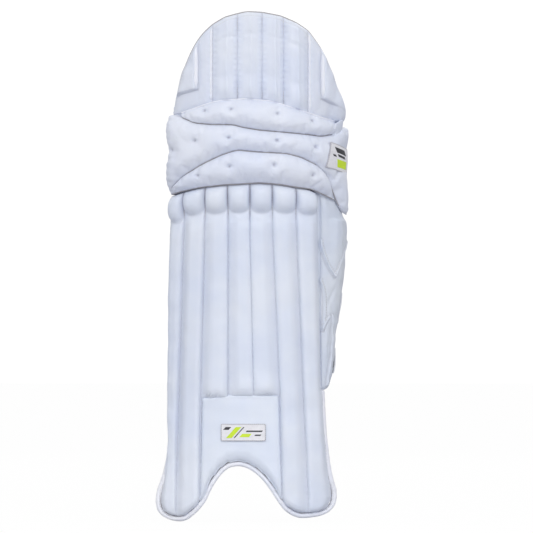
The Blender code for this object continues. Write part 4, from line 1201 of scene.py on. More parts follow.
def rows_between(ps, lo, hi, rows, gap=0.35):
    s = np.linspace(0, 1, rows)
    s = 0.5 - 0.5 * np.cos(math.pi * s)
    s = 0.45 * s + 0.55 * np.linspace(0, 1, rows)
    a, b = lo + gap, np.maximum(hi - gap, lo + gap + 0.4)
    return a[None] + s[:, None] * (b - a)[None]


def build_lower_roll():
    ps = np.linspace(-110, 119, 134)
    lo, hi = lower_low_p(ps), np.minimum(lower_top_p(ps), MIDDLE_BOTTOM_P(ps) + 1.0)
    hi = np.maximum(hi, lo + 1.2)
    Z = rows_between(ps, lo, hi, 34)
    Pm = np.broadcast_to(ps, Z.shape).copy()
    d, dl, dh = roll_front("lower", Pm, Z, 23, 20)
    full = np.clip(np.minimum(dl, dh) * 0 + d, 0, 50)
    dend = np.minimum(Pm - ps[0], 200)
    T = pillow(dl, dh, dend, 9.0, 14.5, 11.0, 19.0, 24.0, r_end=16)
    T = T * (1 - smooth(100, 119, Pm)) + (10.0 + 1.5 * round_edge(d, 5)) * smooth(100, 119, Pm)
    T = T + dimples(Pm, Z, P_TUFTS["lower_knee_roll"])
    T = T + gathers(Pm, dl, 11.0, 0.9, 7.0, 5) + gathers(Pm + 7, dh, 12.5, 0.7, 8.0, 6)
    X = _look(FX, Pm, Z)
    for x0, lean in ((-5, 0.25), (38, -0.3), (75, 0.2)):
        along_z = np.clip(dl, 0, 30)
        for side in (-1, 1):
            T = T - 1.3 * np.exp(-((X - x0 - side * along_z * 0.45 - lean * along_z) / 2.0) ** 2) * np.exp(-(along_z / 9.0) ** 1.5) * smooth(0, 2.5, dl)
    T = T + 0.5 * noise2(X, Z, 30.0, 21) * smooth(2, 10, d)
    # painted shade along the roll's lower and upper seams and in the tufts
    G = np.clip(0.35 * np.exp(-(dl / 0.8) ** 2) + 0.2 * np.exp(-(dh / 0.8) ** 2), 0, 1)
    pin = np.zeros(Z.shape)
    G = np.maximum(G, tuft_shade(Pm, Z, P_TUFTS["lower_knee_roll"]))
    for p, z in P_TUFTS["lower_knee_roll"]:
        pin[np.hypot(Pm - p, Z - z) < 1.8] = 1
    level = np.where(Pm > 95, np.where(Pm > 101, 8.6, -4.3 + (Pm - 95) * 2.1), -4.3)
    finish_roll("lower_knee_roll_skin", Pm, Z, T, None, BLEND["lower"], ("lower_knee_roll_cover", "lower_knee_roll_foam"), G, MAT["roll"], level, pin)
    return Pm, Z, T


def build_middle_roll():
    ps = np.linspace(-109.5, 152, 150)
    lo, hi = MIDDLE_BOTTOM_P(ps), MIDDLE_TOP_P(ps)
    Z = rows_between(ps, lo, hi, 52)
    Pm = np.broadcast_to(ps, Z.shape).copy()
    left = smooth(80, 110, -Pm)
    Pm = Pm + left * (2.6 * np.exp(-((Z - 494) / 11.0) ** 2) - 0.6 - 1.6 * np.exp(-((Z - 520) / 14.0) ** 2) - 1.4 * np.exp(-((Z - 462) / 18.0) ** 2))
    d, dl, dh = roll_front("middle", Pm, Z, 25, 20)
    dleft = edge_distance(Pm, Z, Pm[::2, 0], Z[::2, 0])
    T = pillow(dl, dh, dleft, 13.5, 13.5, 9.5, 17.0, 24.0, r_end=15)
    # at the outer end the roll becomes a flatter flap outside the wing
    flap = smooth(96, 122, Pm)
    Tflap = 10.6 + 7.0 * np.clip(1 - (1 - np.clip(d / 16.0, 0, 1)) ** 2.2, 0, 1) ** 0.7
    T = T * (1 - flap) + Tflap * flap
    T = T + dimples(Pm, Z, P_TUFTS["middle_knee_roll"])
    T = T + gathers(Pm, dl, 12.0, 0.9, 8.0, 35) + gathers(Pm + 5, dh, 11.0, 0.9, 7.0, 36) + gathers(Z, dleft, 9.0, 1.1, 10.0, 37)
    X = _look(FX, Pm, Z)
    # slack folds on the broad left and right ends
    for px, pz, ax, az, depth, wid in ((-92, 470, 0.5, 1, 1.2, 2.6), (-88, 520, -0.6, 1, 1.1, 2.4), (-100, 482, 1, 0.35, 1.0, 2.2), (96, 488, -0.35, 1, 1.2, 3.0), (112, 462, 0.4, 1, 1.3, 3.2), (104, 505, 1, 0.15, 0.8, 2.4)):
        nx, nz = az / math.hypot(ax, az), -ax / math.hypot(ax, az)
        acr = (Pm - px) * nx + (Z - pz) * nz
        alo = (Pm - px) * nz * -1 + (Z - pz) * nx
        T = T - depth * np.exp(-(acr / wid) ** 2) * np.exp(-(alo / 13.0) ** 2) + 0.5 * depth * np.exp(-((acr - 2 * wid) / wid) ** 2) * np.exp(-(alo / 12.0) ** 2)
    T = T + 0.6 * noise2(X, Z, 32.0, 22) * smooth(2, 10, d)
    T = T + 3.6 * smooth(104, 116, Pm) * smooth(492, 520, Z) * round_edge(dh, 6)
    # painted shade along the roll's lower and upper seams and in the tufts
    G = np.clip(0.35 * np.exp(-(dl / 0.8) ** 2) + 0.2 * np.exp(-(dh / 0.8) ** 2), 0, 1)
    pin = np.zeros(Z.shape)
    G = np.maximum(G, tuft_shade(Pm, Z, P_TUFTS["middle_knee_roll"]))
    for p, z in P_TUFTS["middle_knee_roll"]:
        pin[np.hypot(Pm - p, Z - z) < 1.8] = 1
    badge = (np.abs(Pm - 116) < 26) & (np.abs(Z - 492) < 22)
    pin = np.maximum(pin, badge * 0.85)
    T = T * 1.0
    level = np.where(Z < 455, np.clip(-4.3 + (Pm - 97) * 3.4, -4.3, 9.4), np.clip(-4.3 + (Pm - 104) * 0.4, -4.3, 3))
    finish_roll("middle_knee_roll_skin", Pm, Z, T, None, BLEND["middle"], ("middle_knee_roll_cover", "middle_knee_roll_foam"), G, MAT["roll"], level, pin)
    return Pm, Z, T


def build_upper_roll():
    ps = np.linspace(-90, 122, 120)
    lo, hi = MIDDLE_TOP_P(ps), np.maximum(upper_top_p(ps), MIDDLE_TOP_P(ps) + 1.2)
    Z = rows_between(ps, lo, hi, 30)
    Pm = np.broadcast_to(ps, Z.shape).copy()
    d, dl, dh = roll_front("upper", Pm, Z, 22, 17)
    dend = np.minimum(Pm - ps[0], ps[-1] - Pm)
    T = pillow(dl, dh, dend, 13.0, 9.5, 9.5, 14.0, 18.0, end_level=9.0, r_end=12)
    T = T + dimples(Pm, Z, P_TUFTS["upper_knee_roll"])
    T = T + gathers(Pm, dl, 10.0, 0.9, 7.0, 55) + gathers(Pm + 3, dh, 11.0, 0.7, 6.0, 56)
    X = _look(FX, Pm, Z)
    T = T + 0.5 * noise2(X, Z, 28.0, 23) * smooth(2, 10, d)
    # painted shade along the roll's lower seam and in the tufts
    G = np.clip(0.35 * np.exp(-(dl / 0.8) ** 2), 0, 1)
    pin = np.zeros(Z.shape)
    G = np.maximum(G, tuft_shade(Pm, Z, P_TUFTS["upper_knee_roll"]))
    for p, z in P_TUFTS["upper_knee_roll"]:
        pin[np.hypot(Pm - p, Z - z) < 1.8] = 1
    finish_roll("upper_knee_roll_skin", Pm, Z, T, None, BLEND["upper"], ("upper_knee_roll_cover", "upper_knee_roll_foam"), G, MAT["roll"], -4.3, pin)
    return Pm, Z, T


LOWER = build_lower_roll()
MIDDLE = build_middle_roll()
UPPER = build_upper_roll()


def blend_like(ob, key):
    a, b, start, end = BLEND[key]
    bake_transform(ob)
    return ob


def edge_cord(name, ps, zs, t, key, radius=0.9, mat="piping"):
    ob = tube(name, form(ps, zs, t), radius * MM, MAT[mat], sides=8)
    if key in BLEND:
        blend_like(ob, key)
    else:
        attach(ob, key)
    return ob


ps = np.linspace(-106, 117, 190)
edge_cord("lower_roll_bottom_cord", ps, lower_low_p(ps) + 0.1, 9.4 + 1.0 * smooth(94, 108, ps), "lower", radius=0.6)
ps = np.linspace(-107, 124, 200)
edge_cord("lower_roll_top_cord", ps, MIDDLE_BOTTOM_P(ps) - 0.1, np.interp(ps, (-107, -95, 98, 118), (7.5, 14.0, 14.0, 11.5)), "middle", radius=0.6)
ps = np.linspace(-86, 124, 200)
edge_cord("middle_roll_top_cord", ps, MIDDLE_TOP_P(ps) + 0.1, np.interp(ps, (-86, -80, 96, 124), (12.9, 13.4, 13.2, 11.5)), "upper", radius=0.5)
# the cord stands for the upper roll's soft top fold; its paler binding colour is a painted highlight along that edge
ps = np.linspace(-89, 118, 180)
edge_cord("upper_roll_top_cord", ps, np.maximum(upper_top_p(ps), MIDDLE_TOP_P(ps)) + 0.1, 9.6, "hat", radius=1.0, mat="binding")


# ------------------------------------------------------------------ top hat
HAT_X_KNOTS = (-68.3, -49.6, -16.5, 16.1, 44.6, 77.0, 93.8)


def hat_low(x):
    x = np.asarray(x, float)
    z = np.full(x.shape, 545.0)
    for _ in range(5):
        p = round_leg(x, z)
        beyond = (x < -84) | (x > 104)
        z = np.maximum(UPPER_TOP(x), np.where(beyond, MIDDLE_TOP_P(p), 0))
    return z + 0.4 + 1.4 * smooth(-84, -92, x) + 0.8 * smooth(104, 112, x) + 2.5 * smooth(116, 127, x)


def hat_columns():
    xs = [np.linspace(-102.8, -68.3, 26)[:-1], np.linspace(-68.3, -49.6, 12)[:-1]]
    for a, b in zip(HAT_X_KNOTS[1:5], HAT_X_KNOTS[2:6]):
        w = -np.cos(np.linspace(0, math.pi, 22))
        xs.append((a + (w + 1) / 2 * (b - a))[:-1])
    xs += [np.linspace(77.0, 93.8, 12)[:-1], np.linspace(93.8, 127.3, 26)]
    return np.concatenate(xs)


def hat_dome(x):
    return HAT_DOME(x)


def build_hat():
    xs = hat_columns()
    rows = 96
    s = np.linspace(0, 1, rows)[:, None]
    lo, hi = hat_low(xs), hat_dome(xs)
    hi = np.maximum(hi, lo + 1.5)
    Z = lo[None] + s * (hi - lo)[None]
    X = np.broadcast_to(xs, Z.shape).copy()
    dome_x = np.concatenate([[-102.8, -102.8], xs, [127.3, 127.3]])
    dome_z = np.concatenate([[hat_low(-102.8) + 0.0, hat_dome(-102.8)], hat_dome(xs), [hat_dome(127.3), hat_low(127.3) + 0.0]])
    dd = edge_distance(X, Z, dome_x, dome_z)
    dl = edge_distance(X, Z, xs[::2], lo[::2])
    base = 4.6
    T = np.full(X.shape, base)
    G = np.zeros(X.shape)
    # four stuffed flutes
    for k, (a, b) in enumerate(zip(HAT_X_KNOTS[1:5], HAT_X_KNOTS[2:6])):
        w = (X - a) / (b - a) * 2 - 1
        inside = np.abs(w) <= 1
        ridge_at = (0.16, 0.12, 0.18, 0.1)[k] + 0.03 * noise2(X * 0, Z, 50.0, 60 + k)
        plane = np.clip(1 - np.abs(w) ** 2.6, 0, 1) ** 0.8
        # two broad facets meeting on a ridge line
        facet = np.where(w < ridge_at, (w + 1) / (ridge_at + 1), (1 - w) / (1 - ridge_at))
        facet = np.clip(facet, 0, 1)
        prof = 0.36 * np.clip(facet * 2.2, 0, 1) ** 0.8 + 0.44 * facet + 0.20 * np.exp(-((w - ridge_at) / 0.09) ** 2)
        joined = smooth(12, 40, dl) * smooth(18, 45, HAT_DOME(X) - Z)
        if k == 0:
            joined = joined * smooth(-1, -0.2, w)
        if k == 3:
            joined = joined * smooth(1, 0.2, w)
        prof = prof * (1 - 0.14 * joined) + 0.14 * joined
        puff = 1 + 0.24 * np.exp(-((dl - 14) / 9.0) ** 2) - 0.12 * np.exp(-((dl - 33) / 7.0) ** 2)
        near_top = HAT_DOME(X) - Z
        puff = puff * (0.55 + 0.45 * round_edge(dl, 11)) * (0.45 + 0.55 * round_edge(np.minimum(near_top, dd * 1.1), 26))
        puff = puff - 0.10 * np.exp(-((near_top - 30 - 3 * noise2(X * 0 + k * 9.0, Z * 0, 20.0, 3)) / 3.5) ** 2)
        T = np.where(inside, np.maximum(T, base + 12.5 * prof * puff), T)
        T = T + np.where(inside, 0.45 * noise2(X, Z, 24.0, 70 + k) * plane, 0)
    # gathers either side of each flute seam, near its ends
    for k, a in enumerate(HAT_X_KNOTS[1:6]):
        near = np.abs(X - a)
        T = T - 0.5 * np.cos(2 * math.pi * Z / 7.7 + k) * np.exp(-(near / 4.0) ** 2) * smooth(0.4, 2.0, near)
        # painted shade along each flute seam, heavier near the bottom and under the dome edge
        G = np.maximum(G, 0.08 * np.exp(-(near / 0.9) ** 2) * (1 + 4.0 * np.exp(-(dl / 14.0) ** 2) + 3.4 * np.exp(-((HAT_DOME(X) - Z) / 16.0) ** 2)))
    # narrow welts on the flat strips
    for wx, amp in ((-51.8, 1.6), (79.6, 1.6)):
        T = T + amp * np.exp(-((X - wx) / 1.35) ** 2) * smooth(2, 9, dl) * smooth(2, 12, dd)
        # painted shade beside each welt, on its flute side
        G = np.maximum(G, 0.22 * np.exp(-((X - wx - (2.4 if wx < 0 else -2.6)) / 0.7) ** 2))
    # side pads: padded segments with a rounded inner edge and a square bottom
    side_l = [(-68.3, 575.5), (-68.3, 643.0)]
    bl = 575.5 - (X + 68.3) / (99.0 - 68.3) * -8.0
    low_l = 576 + (X + 68) * (8.0 / 31.0)
    in_l = (X < -68.3) & (Z > low_l)
    dl_in = np.minimum(np.abs(X + 68.3), (Z - low_l) * 0.97)
    pad_l = in_l * (6.4 * round_edge(np.minimum(np.minimum(np.abs(X + 68.3), (Z - low_l) * 1.7), dd), 5.0) + 1.1 * np.exp(-((np.abs(X + 68.3) - 4.5) / 2.6) ** 2) * smooth(0, 4, Z - low_l))
    low_r = 564 - (X - 94) * (15.0 / 29.5)
    in_r = (X > 93.8) & (Z > low_r)
    dr_in = np.minimum(np.abs(X - 93.8), (Z - low_r) * 0.9)
    pad_r = in_r * (6.4 * round_edge(np.minimum(np.minimum(np.abs(X - 93.8), (Z - low_r) * 1.7), dd), 5.0) + 1.1 * np.exp(-((np.abs(X - 93.8) - 4.5) / 2.6) ** 2) * smooth(0, 4, Z - low_r))
    T = T + pad_l + pad_r
    # painted shade along the inner edge and the bottom of each side pad
    for k, edge in enumerate((np.where((Z > low_l - 3) & (X < -60), np.abs(X + 68.3), 99), np.where((Z > low_r - 3) & (X > 88), np.abs(X - 93.8), 99))):
        G = np.maximum(G, 0.30 * np.exp(-(edge / 0.9) ** 2))
    G = np.maximum(G, np.where(X < -67.5, 0.3 * np.exp(-((Z - low_l) / 1.0) ** 2), 0))
    G = np.maximum(G, np.where(X > 93, 0.3 * np.exp(-((Z - low_r) / 1.0) ** 2), 0))
    # a softly padded band along the bottom, outside the flutes
    outer = smooth(-52, -60, X) + smooth(80, 86, X)
    T = T + outer * 1.6 * round_edge(dl, 8) + 0.5 * noise2(X, Z, 30.0, 77) * smooth(2, 10, dd) * outer
    # painted shade: the band outside the flutes is darkened towards the sides, which turn away from the light
    G = np.maximum(G, 0.065 * outer)
    # rounded rim of the dome
    T = T * (0.35 + 0.65 * round_edge(dd, 7.5)) + 0.2
    T = T - (1 - round_edge(dd, 5.0)) * 1.2
    side = smooth(104, 117, X) * smooth(598, 566, Z)
    T = T * (1 - side) + np.maximum(T, 12.5 + 4.5 * smooth(580, 550, Z) - 6.0 * (1 - round_edge(dl, 9))) * side
    # painted shade along the hat's lower edge, where it meets the upper roll
    G = np.maximum(G, 0.15 * np.exp(-(dl / 1.2) ** 2))
    # hem line inside the dome edge: a shallow dip with painted shade along it
    G = np.maximum(G, 0.10 * np.exp(-((dd - 4.6) / 0.7) ** 2))
    T = T - 0.2 * np.exp(-((dd - 4.6) / 0.9) ** 2)
    pin = np.clip(np.exp(-(dd / 3.0) ** 2), 0, 1)
    for a in HAT_X_KNOTS:
        pin = np.maximum(pin, (np.abs(X - a) < 0.9) * 1.0)
    pin = np.maximum(pin, ((X > -52) & (X < 80)) * 0.4)
    pin[0], pin[-1], pin[:, 0], pin[:, -1] = 1, 1, 1, 1
    Pm = round_leg(np.clip(X, -97, 108), Z, np.clip(T, 0.5, 6.0)) + np.maximum(X - 108, 0) * 1.0 + np.minimum(X + 97, 0) * 1.2
    ob = finish_roll("top_hat_skin", Pm, Z, T, None, BLEND["hat"],
                     ("top_hat_cover", "top_hat_bolster_1", "top_hat_bolster_2", "top_hat_bolster_3", "top_hat_bolster_4", "top_hat_left_side_pad", "top_hat_right_side_pad"),
                     np.clip(G, 0, 1), MAT["hat"], -4.3, pin, pressure=0.9, grow=0.006, cap=1.5)
    return Pm, Z, T


HAT = build_hat()

# piping round the dome edge, from the rolls on one side to the rolls on the other
xs = np.concatenate([[-101.8] * 2, np.linspace(-102.8, 127.3, 260), [123.6] * 2])
zs = np.concatenate([[545.0, 547.0], np.linspace(0, 1, 260) * 0, [0, 0]])
ex = np.linspace(-102.8, 127.4, 700)
dome = np.stack([ex, HAT_DOME(ex)], -1)
seg = np.concatenate([[0], np.cumsum(np.linalg.norm(np.diff(dome, axis=0), axis=1))])
at = np.linspace(0, seg[-1], 260)
dome = np.stack([np.interp(at, seg, dome[:, k]) for k in range(2)], -1)
for _ in range(8):
    dome[1:-1] = 0.25 * dome[:-2] + 0.5 * dome[1:-1] + 0.25 * dome[2:]
dx = np.gradient(dome, axis=0)
dx /= np.linalg.norm(dx, axis=1, keepdims=True)
ox, oz = dome[:, 0] - dx[:, 1] * 0.5, dome[:, 1] + dx[:, 0] * 0.5
tc = np.clip(12.5 * smooth(104, 117, ox) * smooth(598, 566, oz), 2.0, 6.0)
pp = round_leg(np.clip(ox, -97, 108), oz, tc) + np.maximum(ox - 108, 0) * 1.0 + np.minimum(ox + 97, 0) * 1.2
on = ox < 124.5
edge_cord("top_hat_edge_cord", pp[on], oz[on], -1.2, "hat", radius=1.15, mat="piping")
lines = []
for a in HAT_X_KNOTS[1:6]:
    z = np.linspace(float(hat_low(a)) + 6, float(HAT_DOME(a)) - 5, 60)
    p = round_leg(a + 0 * z, z, 5.0)
    lines.append((form(p, z, 5.0), outward(p, z)))
ob = stitches("top_hat_stitching", lines, MAT["thread"], pitch=3.3, length=2.2, width=1.0, height=0.8, lift=0.2)
blend_like(ob, "hat")
ix, iz = dome[:, 0] + dx[:, 1] * 4.6, dome[:, 1] - dx[:, 0] * 4.6
keep = iz > 562
pp = round_leg(np.clip(ix[keep], -97, 108), iz[keep], 5.0) + np.maximum(ix[keep] - 108, 0) * 1.0 + np.minimum(ix[keep] + 97, 0) * 1.2
read = surface_reader(*HAT)
tt = read(pp, iz[keep])
# welts as round cords in the paler binding PU: the welts are real, and their paler colour is a painted highlight
for side, wx in (("left", -51.8), ("right", 79.6)):
    z = np.linspace(float(hat_low(wx)) + 3.0, float(HAT_DOME(wx)) - 4.0, 80)
    p = round_leg(wx + 0 * z, z, 6.0)
    fade = 0.5 + 0.5 * np.clip(np.minimum(z - z[0], z[-1] - z) / 4.0, 0, 1)
    ob = tube(f"top_hat_{side}_welt", form(p, z, read(p, z) - 0.5), 1.7 * fade * MM, MAT["binding"], sides=12)
    blend_like(ob, "hat")
# raised rolls along the side pads' inner edges, in the paler binding PU: the rolls are real, and their paler colour is
# a painted highlight
for side, wx, lowz in (("left", -71.6, 576.8), ("right", 97.2, 564.0)):
    z = np.linspace(lowz + 3.0, float(HAT_DOME(wx)) - 5.0, 80)
    p = round_leg(wx + 0 * z, z, 9.0)
    fade = 0.4 + 0.6 * np.clip(np.minimum(z - z[0], (z[-1] - z) * 0.5) / 6.0, 0, 1)
    ob = tube(f"top_hat_{side}_pad_roll", form(p, z, read(p, z) - 1.7), 2.9 * fade * MM, MAT["binding"], sides=16)
    blend_like(ob, "hat")
ob = stitches("top_hat_hem_stitching", [(form(pp, iz[keep], tt), outward(pp, iz[keep]))], MAT["thread"], pitch=3.4, length=2.3, width=0.8, height=0.6, lift=0.1)
blend_like(ob, "hat")


# ------------------------------------------------------------------ side badge on the middle roll
def build_side_badge():
    read = surface_reader(*MIDDLE)
    cu, cz, turn = 117.5, 484.5, math.radians(-12)
    c, s_ = math.cos(turn), math.sin(turn)
    # the patch lies flat on the roll: fit its height over a coarse lattice and keep it just proud
    gu, gv = np.meshgrid(np.linspace(-22, 22, 9), np.linspace(-17, 17, 7))
    gp, gz = cu + gu * c - gv * s_, cz + gu * s_ + gv * c
    h = read(gp.ravel(), gz.ravel())
    A = np.stack([np.ones(h.size), gu.ravel(), gv.ravel(), gu.ravel() ** 2, gv.ravel() ** 2, (gu * gv).ravel()], -1)
    fit = np.linalg.lstsq(A, h, rcond=None)[0]
    lift = max(0.0, float(np.max(h - A @ fit)) * 0.6) + 0.55

    def place(u, v, t):
        p, z = cu + u * c - v * s_, cz + u * s_ + v * c
        base = fit[0] + fit[1] * u + fit[2] * v + fit[3] * u * u + fit[4] * v * v + fit[5] * u * v
        return form(p, z, base + lift + t)
    shapes = [
        ("side_badge_border", rounded_rect(0, 0, 45, 35, 1.8), -2.2, 0.25, "patch_grey"),
        ("side_badge_field", rounded_rect(0, 0, 42.4, 32.4, 1.4), 0.0, 0.40, "patch_white"),
        ("side_badge_dark_bar_1", [(-15, 12.5), (9, 12.5), (15, 6.0), (-9, 6.0)], 0.2, 0.6, "patch_black"),
        ("side_badge_dark_bar_2", [(-7.5, 4.2), (10, 4.2), (13, 1.0), (-4.5, 1.0)], 0.2, 0.6, "patch_black"),
        ("side_badge_lime_block", [(-7, -2.6), (17, -1.6), (17, -12.0), (-4, -13.0)], 0.2, 0.6, "patch_lime"),
        ("side_badge_dark_bar_3", [(-17, 2.5), (-11, 2.5), (-8.6, -0.1), (-14.6, -0.1)], 0.2, 0.6, "patch_black"),
    ]
    for name, outline, lo, hi, mat in shapes:
        ob = plate(name, dense(list(map(tuple, outline)), 2.0), place, lo, hi, MAT[mat])
        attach(ob, "middle_knee_roll")
        if name == "side_badge_field":
            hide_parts("side_badge")
    rim = dense(rounded_rect(0, 0, 43.8, 33.8, 1.6) + [rounded_rect(0, 0, 43.8, 33.8, 1.6)[0]], 1.0)
    u, v = np.array(rim).T
    p, z = cu + u * c - v * s_, cz + u * s_ + v * c
    ob = stitches("side_badge_stitching", [(place(u, v, 0.3), outward(p, z))], MAT["thread"], pitch=2.6, length=1.8, width=0.6, height=0.5)
    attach(ob, "middle_knee_roll")


build_side_badge()


# ------------------------------------------------------------------ side wing
def polyline_ridge(Pm, Zm, points, width, height):
    p, z = np.array(points, float).T
    d = edge_distance(Pm, Zm, p, z)
    return d, height * np.exp(-(d / width) ** 2)


def px(x, z):
    """Flat p of a front elevation point on the wing, standing at the wing's own height."""
    x, z = np.asarray(x, float), np.asarray(z, float)
    p = x + 8.0
    for _ in range(40):
        a = _look(FA, p, z)
        here = _look(FX, p, z) + WING_FRONT(p) * np.sin(a)
        p = np.clip(p + (x - here) / np.maximum(np.cos(a), 0.22) * 0.7, 96, 180)
    return p


WING_FRONT = table((97, 5.4), (104, 7.5), (128, 7.5), (150, 3.5), (190, 3.5))


def wing_rear(z):
    """Rear edge of the wing as sewn: the lower end is drawn in to a point."""
    return WING_REAR_P(z) - 8.0 * smooth(200, 176, z)


def build_wing():
    n, m = 92, 150
    u = np.linspace(0, 1, n)[None]
    v = np.linspace(0, 1, m)[:, None]
    Z = np.full((m, n), 300.0)
    for _ in range(8):
        rear = wing_rear(Z)
        Pm = 97 + u * (rear - 97)
        top = WING_TOP_P(Pm) + 6 + 12.0 * smooth(178, 140, Pm)
        Z = 176 + v * (top - 176)
    d = np.minimum(np.minimum((Pm - 97) * 1.0, (wing_rear(Z) - Pm) * 0.9), np.minimum(Z - 176, 60))
    dr = (wing_rear(Z) - Pm) * 0.9
    T = WING_FRONT(Pm) + 4.6 * smooth(24, 34, WING_REAR_P(Z) - Pm) * smooth(104, 122, Pm) * smooth(245, 365, Z) * (1 - 0.6 * smooth(398, 412, Z))
    T = T - 3.0 * (1 - round_edge(Z - 176, 8)) - 1.8 * (1 - round_edge(dr, 5))
    front_edge = Pm - 97
    # painted shade along the wing's front edge
    G = 0.12 * np.exp(-(front_edge / 1.2) ** 2)
    # raised seams: a pointed flap below the knee, a second curved seam under it and a long welt towards the foot
    def at(points):
        x, z = np.array(points, float).T
        x = np.interp(np.linspace(0, 1, 40), np.linspace(0, 1, len(x)), x)
        z = np.interp(np.linspace(0, 1, 40), np.linspace(0, 1, len(z)), z)
        return list(zip(px(x, z), z))
    lines = {
        "flap_front": at([(92.5, 375), (98, 357), (105, 339), (111, 327)]),
        "flap_rear": at([(111, 327), (116, 341), (121, 358), (125, 376)]),
        "curve": at([(93.5, 323), (98, 310), (100, 296), (99.5, 276), (97, 255)]),
        "branch": at([(96.5, 258), (101, 266), (106, 273)]),
        "welt": at([(110, 274), (110, 245), (108.5, 218), (103, 182)]),
    }
    for key, pts in lines.items():
        dd, ridge = polyline_ridge(Pm, Z, pts, 2.0, 1.5)
        T = T + ridge - 0.55 * np.exp(-((dd - 3.2) / 1.2) ** 2)
        # painted shade in the dip beside each raised seam
        G = np.maximum(G, 0.34 * np.exp(-((dd - 2.6) / 0.8) ** 2))
    # the panel above the pointed seam lies a little prouder than the field below
    a = np.array(lines["flap_front"] + lines["flap_rear"])
    zline = np.interp(Pm, np.sort(a[:, 0]), a[np.argsort(a[:, 0]), 1])
    T = T + 1.1 * smooth(-2.5, 2.5, Z - zline)
    T = T + 0.7 * noise2(Pm, Z, 36.0, 91) * smooth(0, 8, d) + 0.25 * noise2(Pm, Z, 13.0, 92) * smooth(0, 8, d)
    for p0, z0, ax, az, depth, wid, reach in ((112, 300, 0.5, 1, 0.8, 2.6, 20), (120, 262, -0.3, 1, 0.9, 2.8, 26), (108, 236, 0.2, 1, 0.7, 2.2, 18), (130, 320, -0.5, 1, 0.6, 3.0, 20), (106, 205, 0.1, 1, 0.5, 1.8, 14)):
        nx, nz = az / math.hypot(ax, az), -ax / math.hypot(ax, az)
        acr, alo = (Pm - p0) * nx + (Z - z0) * nz, -(Pm - p0) * nz + (Z - z0) * nx
        T = T - depth * np.exp(-(acr / wid) ** 2) * np.exp(-(alo / reach) ** 2)
    # under the flap of the middle roll the wing thins
    T = T - 1.6 * smooth(-4, 6, Z - (WING_TOP_P(Pm) + 2))
    T = np.minimum(T, np.where(Z > 404, 8.6, 13.0))
    T = np.maximum(T, 1.0)
    ob = shell("wing_cover_skin", Pm, Z, T, MAT["wing"], rim=-2.6, rings=3, flare=0.2, thick=1.2, groove_shade=np.clip(G, 0, 1))
    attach(ob, "side_wing")
    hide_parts("wing_cover", "wing_foam")
    return Pm, Z, T, lines


WING = build_wing()
read = surface_reader(*WING[:3])
lines = []
for key, pts in WING[3].items():
    p, z = np.array(pts).T
    welt = tube(f"wing_{key}_welt", form(p, z, read(p, z) - 0.55), 1.1 * MM, MAT["wing"], sides=10)
    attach(welt, "side_wing")
    for off in (2.6,):
        dp, dz = np.gradient(p), np.gradient(z)
        ln = np.hypot(dp, dz)
        p2, z2 = p - dz / ln * off, z + dp / ln * off
        lines.append((form(p2, z2, read(p2, z2)), outward(p2, z2)))
ob = stitches("wing_stitching", lines, MAT["thread"], pitch=3.4, length=2.2, width=0.75, height=0.55, lift=0.12)
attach(ob, "side_wing")
# bound edge of the wing: its bottom and rear edge
z = np.linspace(177, 404, 120)
rear = [(float(wing_rear(q)), q) for q in np.linspace(177, 392, 110)]
bottom_run = [(q, 175.6) for q in np.linspace(99, 107, 8)]
pts = np.array(bottom_run + rear)
for _ in range(6):
    pts[1:-1] = 0.25 * pts[:-2] + 0.5 * pts[1:-1] + 0.25 * pts[2:]
tlev = np.interp(np.arange(len(pts)), [0, 12, len(pts)], [1.2, 0.6, -0.2])
ob = tube("wing_edge_binding", form(pts[:, 0], pts[:, 1], tlev), np.interp(np.arange(len(pts)), [0, 10, 30], [1.5, 1.9, 2.2]) * MM, MAT["binding"], sides=12)
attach(ob, "side_wing")


# flexible hinge strip sewn between the shin's side seam and the wing's front edge
z = np.linspace(178, 437, 130)
edge = round_leg(SEAM_OUTER(z), z, 5.2)
u = np.linspace(0, 1, 11)[:, None]
Ph = (edge - 1.2)[None] + u * (98.4 - edge + 1.2)[None]
Zh = np.broadcast_to(z, Ph.shape)
top = 3.6 - 0.8 * np.sin(u * math.pi) + 0 * Ph
# painted shade down the middle of the strip, where it lies back in the gap
ob = closed_sheet("wing_hinge_strip", form(Ph, Zh, top), form(Ph, Zh, top - 1.4), MAT["wing"], 0.10 * np.exp(-((u - 0.5) / 0.3) ** 2) + 0 * Ph)
fix_normals(ob)
mid = len(z) // 2
a, b = form(float(edge[mid]) - 0.5, float(z[mid]), 2.8), form(97.8, float(z[mid]), 2.8)
tuple(float(v) for v in a)
tuple(float(v) for v in b)
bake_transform(ob)


# hinge strip between the rolls' right shoulder and the hat's lower right corner
u = np.linspace(0, 1, 15)[:, None]
ph = np.linspace(99, 130, 70)[None]
lo = MIDDLE_TOP_P(ph) - 6.0
hi = MIDDLE_TOP_P(ph) + 13.0
Zh = lo + u * (hi - lo)
Ph = ph + 0 * Zh
top = 4.6 + 11.6 * smooth(105, 115, ph) + 0.8 * np.sin(u * math.pi) - 1.5 * (1 - round_edge(130 - ph, 6.0)) + 0 * Ph
# painted shade along the middle of the strip, where it lies back in the gap
ob = closed_sheet("knee_hinge_strip", form(Ph, Zh, top), form(Ph, Zh, top - 1.6), MAT["hat"], 0.06 * np.exp(-((u - 0.5) / 0.3) ** 2) + 0 * Ph)
fix_normals(ob)
zc = float(MIDDLE_TOP_P(118.0))
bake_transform(ob)

# the same strip on the left, where the hat's edge stands just over the middle roll
ph = np.linspace(-107.0, -85.0, 60)[None]
lo = MIDDLE_TOP_P(ph) - 6.0
hi = MIDDLE_TOP_P(ph) + 11.0
Zh = lo + u * (hi - lo)
Ph = ph + 0 * Zh
top = 0.2 + 2.6 * round_edge(ph + 107.5, 7.0) + 0 * Zh
ob = closed_sheet("knee_hinge_strip_left", form(Ph, Zh, top), form(Ph, Zh, top - 1.6), MAT["hat"], 0 * Zh)
fix_normals(ob)
zc = float(MIDDLE_TOP_P(-98.0))
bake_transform(ob)


